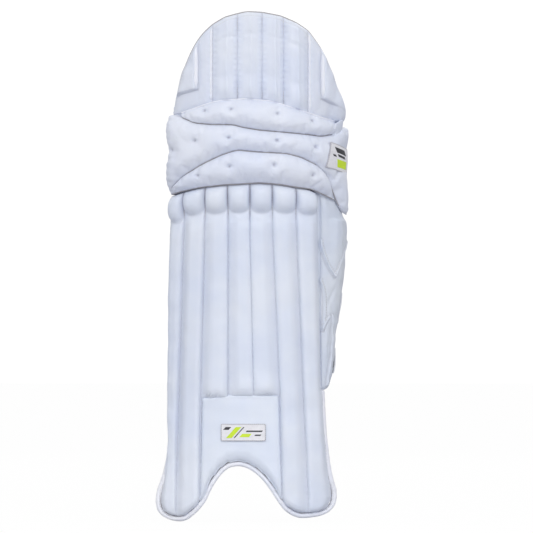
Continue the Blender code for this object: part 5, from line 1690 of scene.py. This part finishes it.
# ------------------------------------------------------------------ linings: quilted pads on the leg side
def quilted(name, Pm, Zm, outer, inner, mat, channels=None, cross=None, depth=1.8, radius=5.0, quilt_shade=0.5):
    """A padded lining: flat against the board, quilted towards the leg."""
    m, n = Pm.shape
    rim = grid_rim(m, n)
    keep = rim[::2]
    rp, rz = np.append(Pm.ravel()[keep], Pm.ravel()[keep[0]]), np.append(Zm.ravel()[keep], Zm.ravel()[keep[0]])
    d = edge_distance(Pm, Zm, rp, rz)
    thickness = outer - inner
    swell = (0.18 + 0.82 * round_edge(d, radius)) * thickness
    # painted shade round the lining's rim and, below, in its quilting channels
    G = 0.5 * np.exp(-(d / 1.0) ** 2)
    if channels is not None:
        near = np.full(Pm.shape, 99.0)
        for c in channels:
            near = np.minimum(near, np.abs(Pm - (c(Zm) if callable(c) else c)))
        swell = swell - depth * np.exp(-(near / 2.4) ** 2) * smooth(0, 5, d)
        G = np.maximum(G, quilt_shade * np.exp(-(near / 1.1) ** 2))
    if cross is not None:
        near = np.full(Pm.shape, 99.0)
        for c in cross:
            near = np.minimum(near, np.abs(Zm - c))
        swell = swell - depth * np.exp(-(near / 2.4) ** 2) * smooth(0, 5, d)
        G = np.maximum(G, quilt_shade * np.exp(-(near / 1.1) ** 2))
    swell = swell - 0.5 * (1 + noise2(Pm, Zm, 26.0, len(name))) * 0.5 * smooth(1, 6, d)
    swell = np.clip(swell, 0.6, thickness)
    front = form(Pm, Zm, outer)
    back = form(Pm, Zm, outer - swell)
    m_, n_ = Pm.shape
    f = grid_faces(m_, n_)
    nxt = np.roll(rim, -1)
    side = np.stack([nxt, rim, rim + m_ * n_, nxt + m_ * n_], -1)
    faces = np.concatenate([f, f[:, ::-1] + m_ * n_, side])
    g = np.concatenate([np.zeros(m_ * n_), G.ravel()])
    return mesh_object(name, np.concatenate([front.reshape(-1, 3), back.reshape(-1, 3)]), faces, mat, np.clip(g, 0, 1))


def field(xs, lo, hi, rows):
    s = np.linspace(0, 1, rows)[:, None]
    Z = lo[None] + s * (hi - lo)[None]
    X = np.broadcast_to(xs, Z.shape).copy()
    return X, Z


# the shin lining runs from edge to edge; over the stiffening it is thick, at the turned edges a single layer
u = np.linspace(0, 1, 140)[None]
v = np.linspace(0, 1, 210)[:, None]
Z = np.full((210, 140), 250.0)
for _ in range(6):
    right_p = np.where(Z < 172, round_leg(EDGE_RIGHT(Z), Z, 5.2) - 1.0, 90.5)
    left_p = np.maximum(round_leg(EDGE_LEFT(Z), Z, 5.2) + 1.0, -110.5 - 12.0 * smooth(190, 176, Z))
    Pm = left_p + u * (right_p - left_p)
    X = _look(FX, Pm, Z)
    lo = bottom(X, 3.0)
    Z = lo + v * (SHIN_TOP_EDGE(X) - 0.5 - lo)
thin = smooth(84, 92, Pm) + smooth(104, 110, -Pm)
ob = quilted("shin_lining_pad", Pm, Z, -4.5, -13.8 + 7.4 * thin, MAT["lining"], channels=(-62, -38, 38, 58, lambda z: 88 + 0 * z), cross=(120, 170, 412))
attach(ob, "shin")
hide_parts("shin_lining")


def roll_lining(name, key, lo_p, hi_p, low, high, rows, channels, replaced):
    ps = np.linspace(lo_p, hi_p, 120)
    X, Z = field(ps, low(ps), np.maximum(high(ps), low(ps) + 1.0), rows)
    thin = np.clip(smooth(90, 100, X) + smooth(92, 102, -X), 0, 1)
    ob = quilted(name, X, Z, -4.5, -13.4 + 7.4 * thin, MAT["lining"], channels=channels, depth=1.4)
    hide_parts(replaced)
    blend_like(ob, key)


roll_lining("lower_roll_lining_pad", "lower", -104, 96, lambda p: lower_low_p(p) + 0.6, lambda p: MIDDLE_BOTTOM_P(p) - 0.6, 26, (-60, -20, 20, 60), "lower_knee_roll_lining")
roll_lining("middle_roll_lining_pad", "middle", -108, 98, lambda p: MIDDLE_BOTTOM_P(p) + 0.4, lambda p: MIDDLE_TOP_P(p) - 0.6, 40, (-70, -35, 0, 35, 70), "middle_knee_roll_lining")
roll_lining("upper_roll_lining_pad", "upper", -89, 121, lambda p: MIDDLE_TOP_P(p) + 0.4, lambda p: upper_top_p(p) - 0.4, 26, (-60, -20, 20, 60), "upper_knee_roll_lining")

# lining on the back of the middle roll's outer flap, which stands clear of the wing
ps = np.linspace(95.5, 150.8, 60)
X, Z = field(ps, MIDDLE_BOTTOM_P(ps) + 1.0, MIDDLE_TOP_P(ps) - 1.0, 60)
seat = np.where(Z < 455, np.clip(-4.3 + (X - 97) * 3.4, -4.3, 9.4), np.clip(-4.3 + (X - 104) * 0.4, -4.3, 3))
for _ in range(3):
    seat[1:-1] = 0.25 * seat[:-2] + 0.5 * seat[1:-1] + 0.25 * seat[2:]
seat = np.where(Z < 458, np.maximum(seat, np.clip(-4.3 + (X - 97) * 3.4, -4.3, 9.4)), seat)
d = np.minimum(np.minimum(X - ps[0], ps[-1] - X), np.minimum(Z - Z[:1], Z[-1:] - Z))
# painted shade along a seam line just inside the flap lining's edge
G = 0.3 * np.exp(-((d - 3.0) / 0.7) ** 2)
back = seat + 0.25 * (1 - round_edge(d, 2.0)) + 0.15 * noise2(X, Z, 18.0, 77) ** 2
ob = closed_sheet("middle_roll_flap_lining", form(X, Z, back + 1.5), form(X, Z, back), MAT["lining"], 0 * X)
g = np.concatenate([G.ravel(), G.ravel()]).astype(np.float32)
if len(ob.data.vertices) == len(g):
    ob.data.attributes["groove_shade"].data.foreach_set("value", g)
fix_normals(ob)
blend_like(ob, "middle")

xs = np.linspace(-98.5, 117.0, 120)
X, Z = field(xs, hat_low(xs) + 0.5, HAT_DOME(xs) - 1.2, 80)
Ph = round_leg(np.clip(X, -97, 108), Z) + np.maximum(X - 108, 0) * 1.0 + np.minimum(X + 97, 0) * 1.2
ob = quilted("top_hat_lining_pad", Ph, Z, -4.5, -11.0, MAT["lining"], channels=(-60, -20, 20, 60, 95), depth=1.2, radius=4)
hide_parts("top_hat_lining")
blend_like(ob, "hat")

# side gussets: they close the pad's edge between the cover and the lining
def gusset(name, edge, lo, hi, out):
    z = np.linspace(lo, hi, 150)
    rim = round_leg(edge(z), z, 5.2)
    p0 = rim + out(z)
    v = np.linspace(0, 1, 15)[:, None]
    t = -8.6 + v * 13.4
    belly = 0.9 * np.sin(v * math.pi) * np.sign(p0[75])
    rim = rim - 1.2 * np.sign(p0[75])
    Pg = p0[None] + (rim - p0)[None] * smooth(0.62, 1.0, v) + belly + 0.12 * np.sin(z * 0.9)[None] * np.sin(v * math.pi)
    Zg = np.broadcast_to(z, Pg.shape)
    Tg = np.broadcast_to(t, Pg.shape)
    inner = Pg - 1.2 * np.sign(p0[75])
    ob = closed_sheet(name, form(Pg, Zg, Tg), form(inner, Zg, Tg), MAT["cover"], 0 * Pg)
    fix_normals(ob)
    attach(ob, "shin")


gusset("left_side_gusset", EDGE_LEFT, 24, 426, lambda z: -3.6 * smooth(165, 130, z) - 0.2)
gusset("right_side_gusset", EDGE_RIGHT, 24, 176, lambda z: 2.4 * smooth(172, 150, z))

# corded edge over the outermost cane, where the pad narrows above the foot
z = np.linspace(50, 160, 90)
pts = np.stack([np.interp(z, (50, 67, 115, 163), (-113.2, -111.4, -105.7, -104.0)), np.interp(z, (50, 67, 115, 163), (0.8, 2.9, 9.4, 11.5)), z - 290.0], -1)
for _ in range(12):
    pts[1:-1] = 0.25 * pts[:-2] + 0.5 * pts[1:-1] + 0.25 * pts[2:]
ob = tube("left_side_edge_roll", pts * MM, (0.7 + 1.9 * smooth(50, 66, z) * smooth(160, 140, z)) * MM, MAT["cover"], sides=14)
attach(ob, "shin")

# wing lining
u, v = np.linspace(0, 1, 56)[None], np.linspace(0, 1, 100)[:, None]
Zw = np.full((100, 56), 300.0)
for _ in range(8):
    Pw = 97.6 + u * (wing_rear(Zw) - 1.2 - 97.6)
    Zw = 176.6 + v * (WING_TOP_P(Pw) + 4.6 + 12.0 * smooth(178, 140, Pw) - 176.6)
ob = quilted("wing_lining_pad", Pw, Zw, -2.9, -6.3, MAT["lining"], channels=(118, 142, 166), depth=0.9, radius=3.0)
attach(ob, "side_wing")
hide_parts("wing_lining")


# ------------------------------------------------------------------ shin cushion and side bolsters
def build_cushion():
    n, m = 44, 110
    u = np.linspace(-1, 1, n)[None]
    v = np.linspace(-1, 1, m)[:, None]
    half_w, half_h = 31.0, 89.0
    X = u * half_w * (1 - 0.030 * (1 - v ** 2)) + 0 * v
    Z = 290 + v * half_h * (1 - 0.020 * (1 - u ** 2)) + 0 * u
    corner = (np.abs(u) ** 6 + np.abs(v) ** 10)
    X = X * (1 - 0.05 * np.abs(v) ** 14)
    Z = 290 + (Z - 290) * (1 - 0.03 * np.abs(u) ** 10)
    d = np.minimum((1 - np.abs(u)) * half_w, (1 - np.abs(v)) * half_h)
    lift = 4.4 * round_edge(d, 7.5)
    for c in (-45, 0, 45):
        lift = lift - 1.1 * np.exp(-((Z - 290 - c) / 2.6) ** 2) * smooth(1, 7, d)
    lift = lift + 0.2 * noise2(X, Z, 22.0, 301)
    lift = np.clip(lift, 0.05, 4.7)
    # painted shade round the cushion's edge and in its quilting lines
    G = 0.5 * np.exp(-(d / 1.2) ** 2) + 0.0 * lift
    for c in (-45, 0, 45):
        G = np.maximum(G, 0.5 * np.exp(-((Z - 290 - c) / 1.0) ** 2) * (d > 2))
    mid = 21.4
    rear = np.stack([X, mid + lift, Z], -1)
    frnt = np.stack([X, mid - lift * 0.98, Z], -1)
    rear, frnt = (rear - DATUM) * MM, (frnt - DATUM) * MM
    ob = closed_sheet("shin_cushion_pad", frnt, rear, MAT["cushion"], np.clip(G, 0, 1))
    me = ob.data
    me.attributes["groove_shade"].data.foreach_set("value", np.concatenate([G.ravel(), G.ravel()]).astype(np.float32))
    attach(ob, "shin")
    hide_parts("shin_cushion")
    a = np.linspace(0, 2 * math.pi, 241)[:-1]
    sx = np.sign(np.cos(a)) * np.abs(np.cos(a)) ** 0.22 * (half_w - 0.2)
    sz = np.sign(np.sin(a)) * np.abs(np.sin(a)) ** 0.12 * (half_h - 0.5)
    sx = sx * (1 - 0.030 * (1 - (sz / half_h) ** 2))
    pts = (np.stack([sx, 0 * sx + mid, 290 + sz], -1) - DATUM) * MM
    seg = np.concatenate([[0], np.cumsum(np.linalg.norm(np.diff(np.vstack([pts, pts[:1]]), axis=0), axis=1))])
    at = np.linspace(0, seg[-1], 281)[:-1]
    loop = np.vstack([pts, pts[:1]])
    pts = np.stack([np.interp(at, seg, loop[:, k]) for k in range(3)], -1)
    cord = tube("shin_cushion_cord", pts, 1.1 * MM, MAT["binding"], sides=8, closed=True)
    fix_normals(cord)
    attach(cord, "shin")


build_cushion()

for side, p in (("left", -80.0), ("right", 74.0)):
    zz = np.linspace(187, 399, 150)
    end = np.minimum(zz - 187, 399 - zz)
    radius = 9.3 * (0.30 + 0.70 * round_edge(end, 12)) - 0.35 * np.cos(2 * math.pi * (zz - 186) / 35.5) * smooth(4, 14, end) + 0.06 * np.sin(zz * 1.7)
    ob = tube(f"{side}_bolster_pad", form(p, zz, -14.0 - 10.4), np.clip(radius, 2, 9.5) * MM, MAT["bolster"], sides=28)
    co = np.array([v.co for v in ob.data.vertices])
    # end gathers: pleats that fade along the bolster
    zc = co[:, 2] / MM + 290
    centre = form(p, np.clip(zc, 187, 399), -24.4)
    axis = centre[:, :2]
    off = co[:, :2] - axis
    ang = np.arctan2(off[:, 1], off[:, 0])
    fade = np.exp(-np.minimum(np.abs(zc - 187), np.abs(399 - zc)) / 9.0)
    co[:, :2] = axis + off * (1 + 0.07 * np.cos(ang * 9)[:, None] * fade[:, None] * (np.linalg.norm(off, axis=1) > 0.001)[:, None])
    ob.data.vertices.foreach_set("co", co.astype(np.float32).ravel())
    ob.data.update()
    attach(ob, "shin")
    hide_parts(f"{side}_inner_bolster")

# ------------------------------------------------------------------ straps, their fastenings and anchors
STRAPS = {"upper": (352.0, 21.0, 24.0), "calf": (284.0, 21.0, 22.0), "ankle": (214.0, 17.0, 13.0)}
STRAP_HINGE_P, STRAP_HINGE_T, STRAP_LIFT = -124.0, -1.8, 2.5
BULGE = {"upper": 92.0, "calf": 88.0, "ankle": 74.0}


def strap_path(name, s, z, off):
    """Plan points, pad mm, of a strap for one s at many z and off."""
    z, off = np.broadcast_arrays(np.asarray(z, float), np.asarray(off, float))
    rear = WING_REAR_P(z) - 2
    lap = STRAPS[name][2]
    if s > 1:
        p = rear - (s - 1) * lap
        return form(p, z, WING_FRONT(p) + STRAP_LIFT + off)
    lift = WING_FRONT(rear) + STRAP_LIFT
    away = np.array([0.05, 0.9987])
    hinge = (form(STRAP_HINGE_P, z, STRAP_HINGE_T) / MM + DATUM)[..., :2]
    end = (form(rear, z, lift) / MM + DATUM)[..., :2]
    a_ = _look(FA, rear, z)
    out = np.stack([np.cos(a_), np.sin(a_)], -1)
    a, d = hinge + away * 1.7, end
    b, c = a + away * BULGE[name], d + out * BULGE[name] * 0.8
    at = (1 - s) ** 3 * a + 3 * (1 - s) ** 2 * s * b + 3 * (1 - s) * s * s * c + s ** 3 * d
    run = 3 * (1 - s) ** 2 * (b - a) + 6 * (1 - s) * s * (c - b) + 3 * s * s * (d - c)
    run = run / np.linalg.norm(run, axis=-1, keepdims=True)
    xy = at + off[..., None] * np.stack([-run[..., 1], run[..., 0]], -1)
    return (np.concatenate([xy, z[..., None]], -1) - DATUM) * MM


def ribbon(name, piece, stations, low, high, zlo, zhi, mat, ribs=True, rows=19, rib_shade=True):
    zz = np.linspace(0, 1, rows)
    z = zlo + zz * (zhi - zlo)
    edge = np.minimum(zz, 1 - zz) * (zhi - zlo)
    mid, half = (low + high) / 2, (high - low) / 2
    h = half * (0.35 + 0.65 * round_edge(edge, 1.4))
    if ribs:
        h = h - 0.22 * np.exp(-((edge - 3.2) / 0.8) ** 2)
    front = np.stack([strap_path(name, s, z, mid - h) for s in stations], 1)
    back = np.stack([strap_path(name, s, z, mid + h) for s in stations], 1)
    # the path runs from the left hinge round behind the leg: +off lies outside
    # painted shade along the two rib dips inside the webbing's edges
    G = np.broadcast_to((0.30 * np.exp(-((edge - 3.2) / 0.7) ** 2))[:, None], front.shape[:2]).copy() if rib_shade else np.zeros(front.shape[:2])
    ob = closed_sheet(piece, front, back, mat, G)
    ob.data.attributes["groove_shade"].data.foreach_set("value", np.concatenate([G.ravel(), G.ravel()]).astype(np.float32))
    return fix_normals(ob)


for name, (z0, half, lap) in STRAPS.items():
    body = f"{name}_strap"
    st = [*np.linspace(0, 1, 84), *(1 + np.linspace(0.02, 1.0, 18))]
    ob = ribbon(name, f"{name}_strap_webbing", st, -0.75, 0.75, z0 - half, z0 + half, MAT["webbing"])
    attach(ob, body)
    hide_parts(f"{name}_strap")
    ob = ribbon(name, f"{name}_strap_hook_tape", [1 + v for v in np.linspace(0.1, 0.92, 16)], -1.45, -0.85, z0 - half + 3, z0 + half - 3, MAT["hook"], ribs=False, rib_shade=False)
    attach(ob, body)
    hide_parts(f"{name}_strap_hook")
    # stitching: two rows along, and a box on the fastening end
    lines = []
    for zz in (z0 - half + 2.4, z0 + half - 2.4):
        for off, sgn in ((0.7, 1), (-0.7, -1)):
            pts = np.array([strap_path(name, s, zz, off) for s in np.linspace(0.02, 1, 120)])
            nrm = np.array([strap_path(name, s, zz, off + sgn) - strap_path(name, s, zz, off) for s in np.linspace(0.02, 1, 120)])
            lines.append((pts, nrm / np.linalg.norm(nrm, axis=1, keepdims=True)))
    for s0 in (1.08, 1.9):
        z = np.linspace(z0 - half + 3.5, z0 + half - 3.5, 20)
        pts = strap_path(name, s0, z, 0.7)
        nrm = strap_path(name, s0, z, 1.7) - pts
        lines.append((pts, nrm / np.linalg.norm(nrm, axis=1, keepdims=True)))
    for zz in (z0 - half + 3.5, z0 + half - 3.5):
        s = np.linspace(1.08, 1.9, 20)
        pts = np.array([strap_path(name, q, zz, 0.7) for q in s])
        nrm = np.array([strap_path(name, q, zz, 1.7) for q in s]) - pts
        lines.append((pts, nrm / np.linalg.norm(nrm, axis=1, keepdims=True)))
    ob = stitches(f"{name}_strap_stitching", lines, MAT["thread"], pitch=3.6, length=2.4, width=0.7, height=0.5, lift=0.1)
    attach(ob, body)

    # loop patch sewn on the wing
    z = np.linspace(z0 - half, z0 + half, 34)
    q = np.linspace(0.1, 0.9, 24)
    rearp = WING_REAR_P(z) - 2
    Pq = rearp[:, None] - (1 - (q[None] - 0.1) / 0.8) * 0.8 * lap - 0.1 * lap
    Zq = np.broadcast_to(z[:, None], Pq.shape)
    dd = np.minimum(np.minimum(np.arange(34), np.arange(33, -1, -1))[:, None] * (2 * half / 33), np.minimum(np.arange(24), np.arange(23, -1, -1))[None] * (0.8 * lap / 23))
    low = WING_FRONT(Pq) + 0.1
    top = WING_FRONT(Pq) + 0.4 + 0.45 * round_edge(dd, 1.6)
    # painted shade along a line just inside the tape's rounded edge
    ob = closed_sheet(f"{name}_loop_tape", form(Pq, Zq, top), form(Pq, Zq, low), MAT["loop"], 0.25 * np.exp(-((dd - 1.6) / 0.5) ** 2))
    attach(ob, "side_wing")
    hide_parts(f"{name}_loop_patch")

    # anchor: folded webbing stitched in a box to the back of the side edge
    pa = np.linspace(-122.4, -112.0, 20)
    za = np.linspace(z0 - half, z0 + half, 34)
    Pa, Za = np.meshgrid(pa, za)
    dd = np.minimum(np.minimum(Pa - pa[0], pa[-1] - Pa), np.minimum(Za - za[0], za[-1] - Za))
    h = 1.2 * (0.4 + 0.6 * round_edge(dd, 1.4))
    # painted shade along a line just inside the anchor's edge, where its box stitch runs
    G = 0.35 * np.exp(-((dd - 2.4) / 0.6) ** 2)
    ob = closed_sheet(f"{name}_anchor_webbing", form(Pa, Za, STRAP_HINGE_T + h), form(Pa, Za, STRAP_HINGE_T - h), MAT["webbing"], G)
    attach(ob, "shin")
    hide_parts(f"{name}_strap_anchor")

# ------------------------------------------------------------------ CAD nodes that stay
for name, mat in [(f"cane_{k}", "cane") for k in range(1, 8)] + [("backing_board", "board"), ("top_hat_board", "board")]:
    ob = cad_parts[name]
    if not ob.material_slots:
        ob.data.materials.append(MAT[mat])
    for slot in ob.material_slots:
        slot.material = MAT[mat]

# rolled hem at each strap's sewn end, so that webbing and anchor stay joined through the swing
for name, (z0, half, lap) in STRAPS.items():
    z = np.linspace(z0 - half + 0.4, z0 + half - 0.4, 40)
    r = 2.3 * (0.55 + 0.45 * round_edge(np.minimum(z - z0 + half, z0 + half - z), 1.6))
    ob = tube(f"{name}_strap_root_roll", form(np.full(z.shape, STRAP_HINGE_P), z, np.full(z.shape, STRAP_HINGE_T)), r * MM, MAT["webbing"], sides=20)
    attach(ob, "shin")


# ------------------------------------------------------------------ floor, light and camera
def studio():
    scene = bpy.context.scene
    scene.view_settings.view_transform = "Standard"
    scene.view_settings.look = "None"
    scene.view_settings.exposure = 0.0
    world = bpy.data.worlds.new("studio")
    scene.world = world
    world.use_nodes = True
    nt = world.node_tree
    nt.nodes.clear()
    out = nt.nodes.new("ShaderNodeOutputWorld")
    soft = nt.nodes.new("ShaderNodeBackground")
    soft.inputs[1].default_value = WORLD
    co = nt.nodes.new("ShaderNodeTexCoord")
    split = nt.nodes.new("ShaderNodeSeparateXYZ")
    nt.links.new(co.outputs["Generated"], split.inputs[0])
    up = nt.nodes.new("ShaderNodeMapRange")
    up.inputs[1].default_value, up.inputs[2].default_value = -0.55, 0.75
    up.inputs[3].default_value, up.inputs[4].default_value = 0.0, 1.0
    up.interpolation_type = "SMOOTHSTEP"
    nt.links.new(split.outputs[2], up.inputs[0])
    nt.links.new(mix_colour(nt, up.outputs[0], (0.30, 0.31, 0.36), (1.0, 1.0, 1.0)), soft.inputs[0])
    seen = nt.nodes.new("ShaderNodeBackground")
    seen.inputs[0].default_value = (1, 1, 1, 1)
    seen.inputs[1].default_value = 1.04
    path = nt.nodes.new("ShaderNodeLightPath")
    mix = nt.nodes.new("ShaderNodeMixShader")
    nt.links.new(path.outputs["Is Camera Ray"], mix.inputs[0])
    nt.links.new(soft.outputs[0], mix.inputs[1])
    nt.links.new(seen.outputs[0], mix.inputs[2])
    nt.links.new(mix.outputs[0], out.inputs[0])

    # pale floor: plain white to the eye, and a little duller in what it throws back up
    m = bpy.data.materials.new("studio_floor")
    m.use_nodes = True
    nt = m.node_tree
    nt.nodes.clear()
    out = nt.nodes.new("ShaderNodeOutputMaterial")
    seen = nt.nodes.new("ShaderNodeEmission")
    seen.inputs[0].default_value = (1, 1, 1, 1)
    seen.inputs[1].default_value = 1.0
    grey = nt.nodes.new("ShaderNodeBsdfDiffuse")
    grey.inputs[0].default_value = (0.42, 0.42, 0.44, 1)
    pale = nt.nodes.new("ShaderNodeBsdfDiffuse")
    pale.inputs[0].default_value = (0.95, 0.95, 0.95, 1)
    both = nt.nodes.new("ShaderNodeMixShader")
    both.inputs[0].default_value = 0.965
    nt.links.new(pale.outputs[0], both.inputs[1])
    nt.links.new(seen.outputs[0], both.inputs[2])
    path = nt.nodes.new("ShaderNodeLightPath")
    mix = nt.nodes.new("ShaderNodeMixShader")
    nt.links.new(path.outputs["Is Camera Ray"], mix.inputs[0])
    nt.links.new(grey.outputs[0], mix.inputs[1])
    nt.links.new(both.outputs[0], mix.inputs[2])
    nt.links.new(mix.outputs[0], out.inputs[0])
    verts = [(x, y, -0.2905) for y in (-9.5, 9.5) for x in (-9.5, 9.5)]
    faces = [(0, 1, 3, 2)]
    me = bpy.data.meshes.new("studio_floor")
    me.from_pydata(verts, [], faces)
    me.shade_smooth()
    me.materials.append(m)
    floor = bpy.data.objects.new("studio_floor", me)
    scene.collection.objects.link(floor)
    floor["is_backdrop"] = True

    def area(name, at, to, size, power, colour=(1, 1, 1)):
        light = bpy.data.lights.new(name, "AREA")
        light.shape = "RECTANGLE"
        light.size, light.size_y = size
        light.energy = power
        light.color = colour
        ob = bpy.data.objects.new(name, light)
        ob.location = at
        ob.rotation_euler = (Vector(to) - Vector(at)).to_track_quat("-Z", "Y").to_euler()
        ob.visible_camera = False
        scene.collection.objects.link(ob)

    area("key", (0.12, -1.85, 1.70), (0, 0, 0.05), (1.2, 0.8), KEY, (1.0, 0.995, 0.985))
    area("front", (0.0, -2.9, 0.35), (0, 0, 0.05), (2.4, 0.8), FILL, (0.98, 0.985, 1.0))
    area("left", (-2.1, -1.3, 0.5), (0, 0, 0.05), (0.8, 1.6), TOP, (0.97, 0.985, 1))
    area("right", (2.3, -0.9, 0.4), (0, 0, 0.05), (0.8, 1.6), TOP * 1.1, (0.98, 0.99, 1))
    area("behind", (0.3, 2.4, 1.2), (0, 0, 0.05), (1.6, 1.2), TOP, (1, 1, 1))

    area("low", (0.0, -0.55, -0.22), (0, 0, -0.27), (0.45, 0.10), 0.26, (1, 1, 1))

    cam = bpy.data.cameras.new("camera")
    cam.sensor_width = 36.0
    cam.lens = 404.5
    cam.clip_end = 60.0
    ob = bpy.data.objects.new("camera", cam)
    ob.location = (0.0220, -8.0, 0.0500)
    ob.rotation_euler = (math.pi / 2, 0, 0)
    scene.collection.objects.link(ob)
    scene.camera = ob


WORLD, KEY, FILL, TOP = 0.80, 10.5, 12.4, 6.5
studio()

low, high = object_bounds()
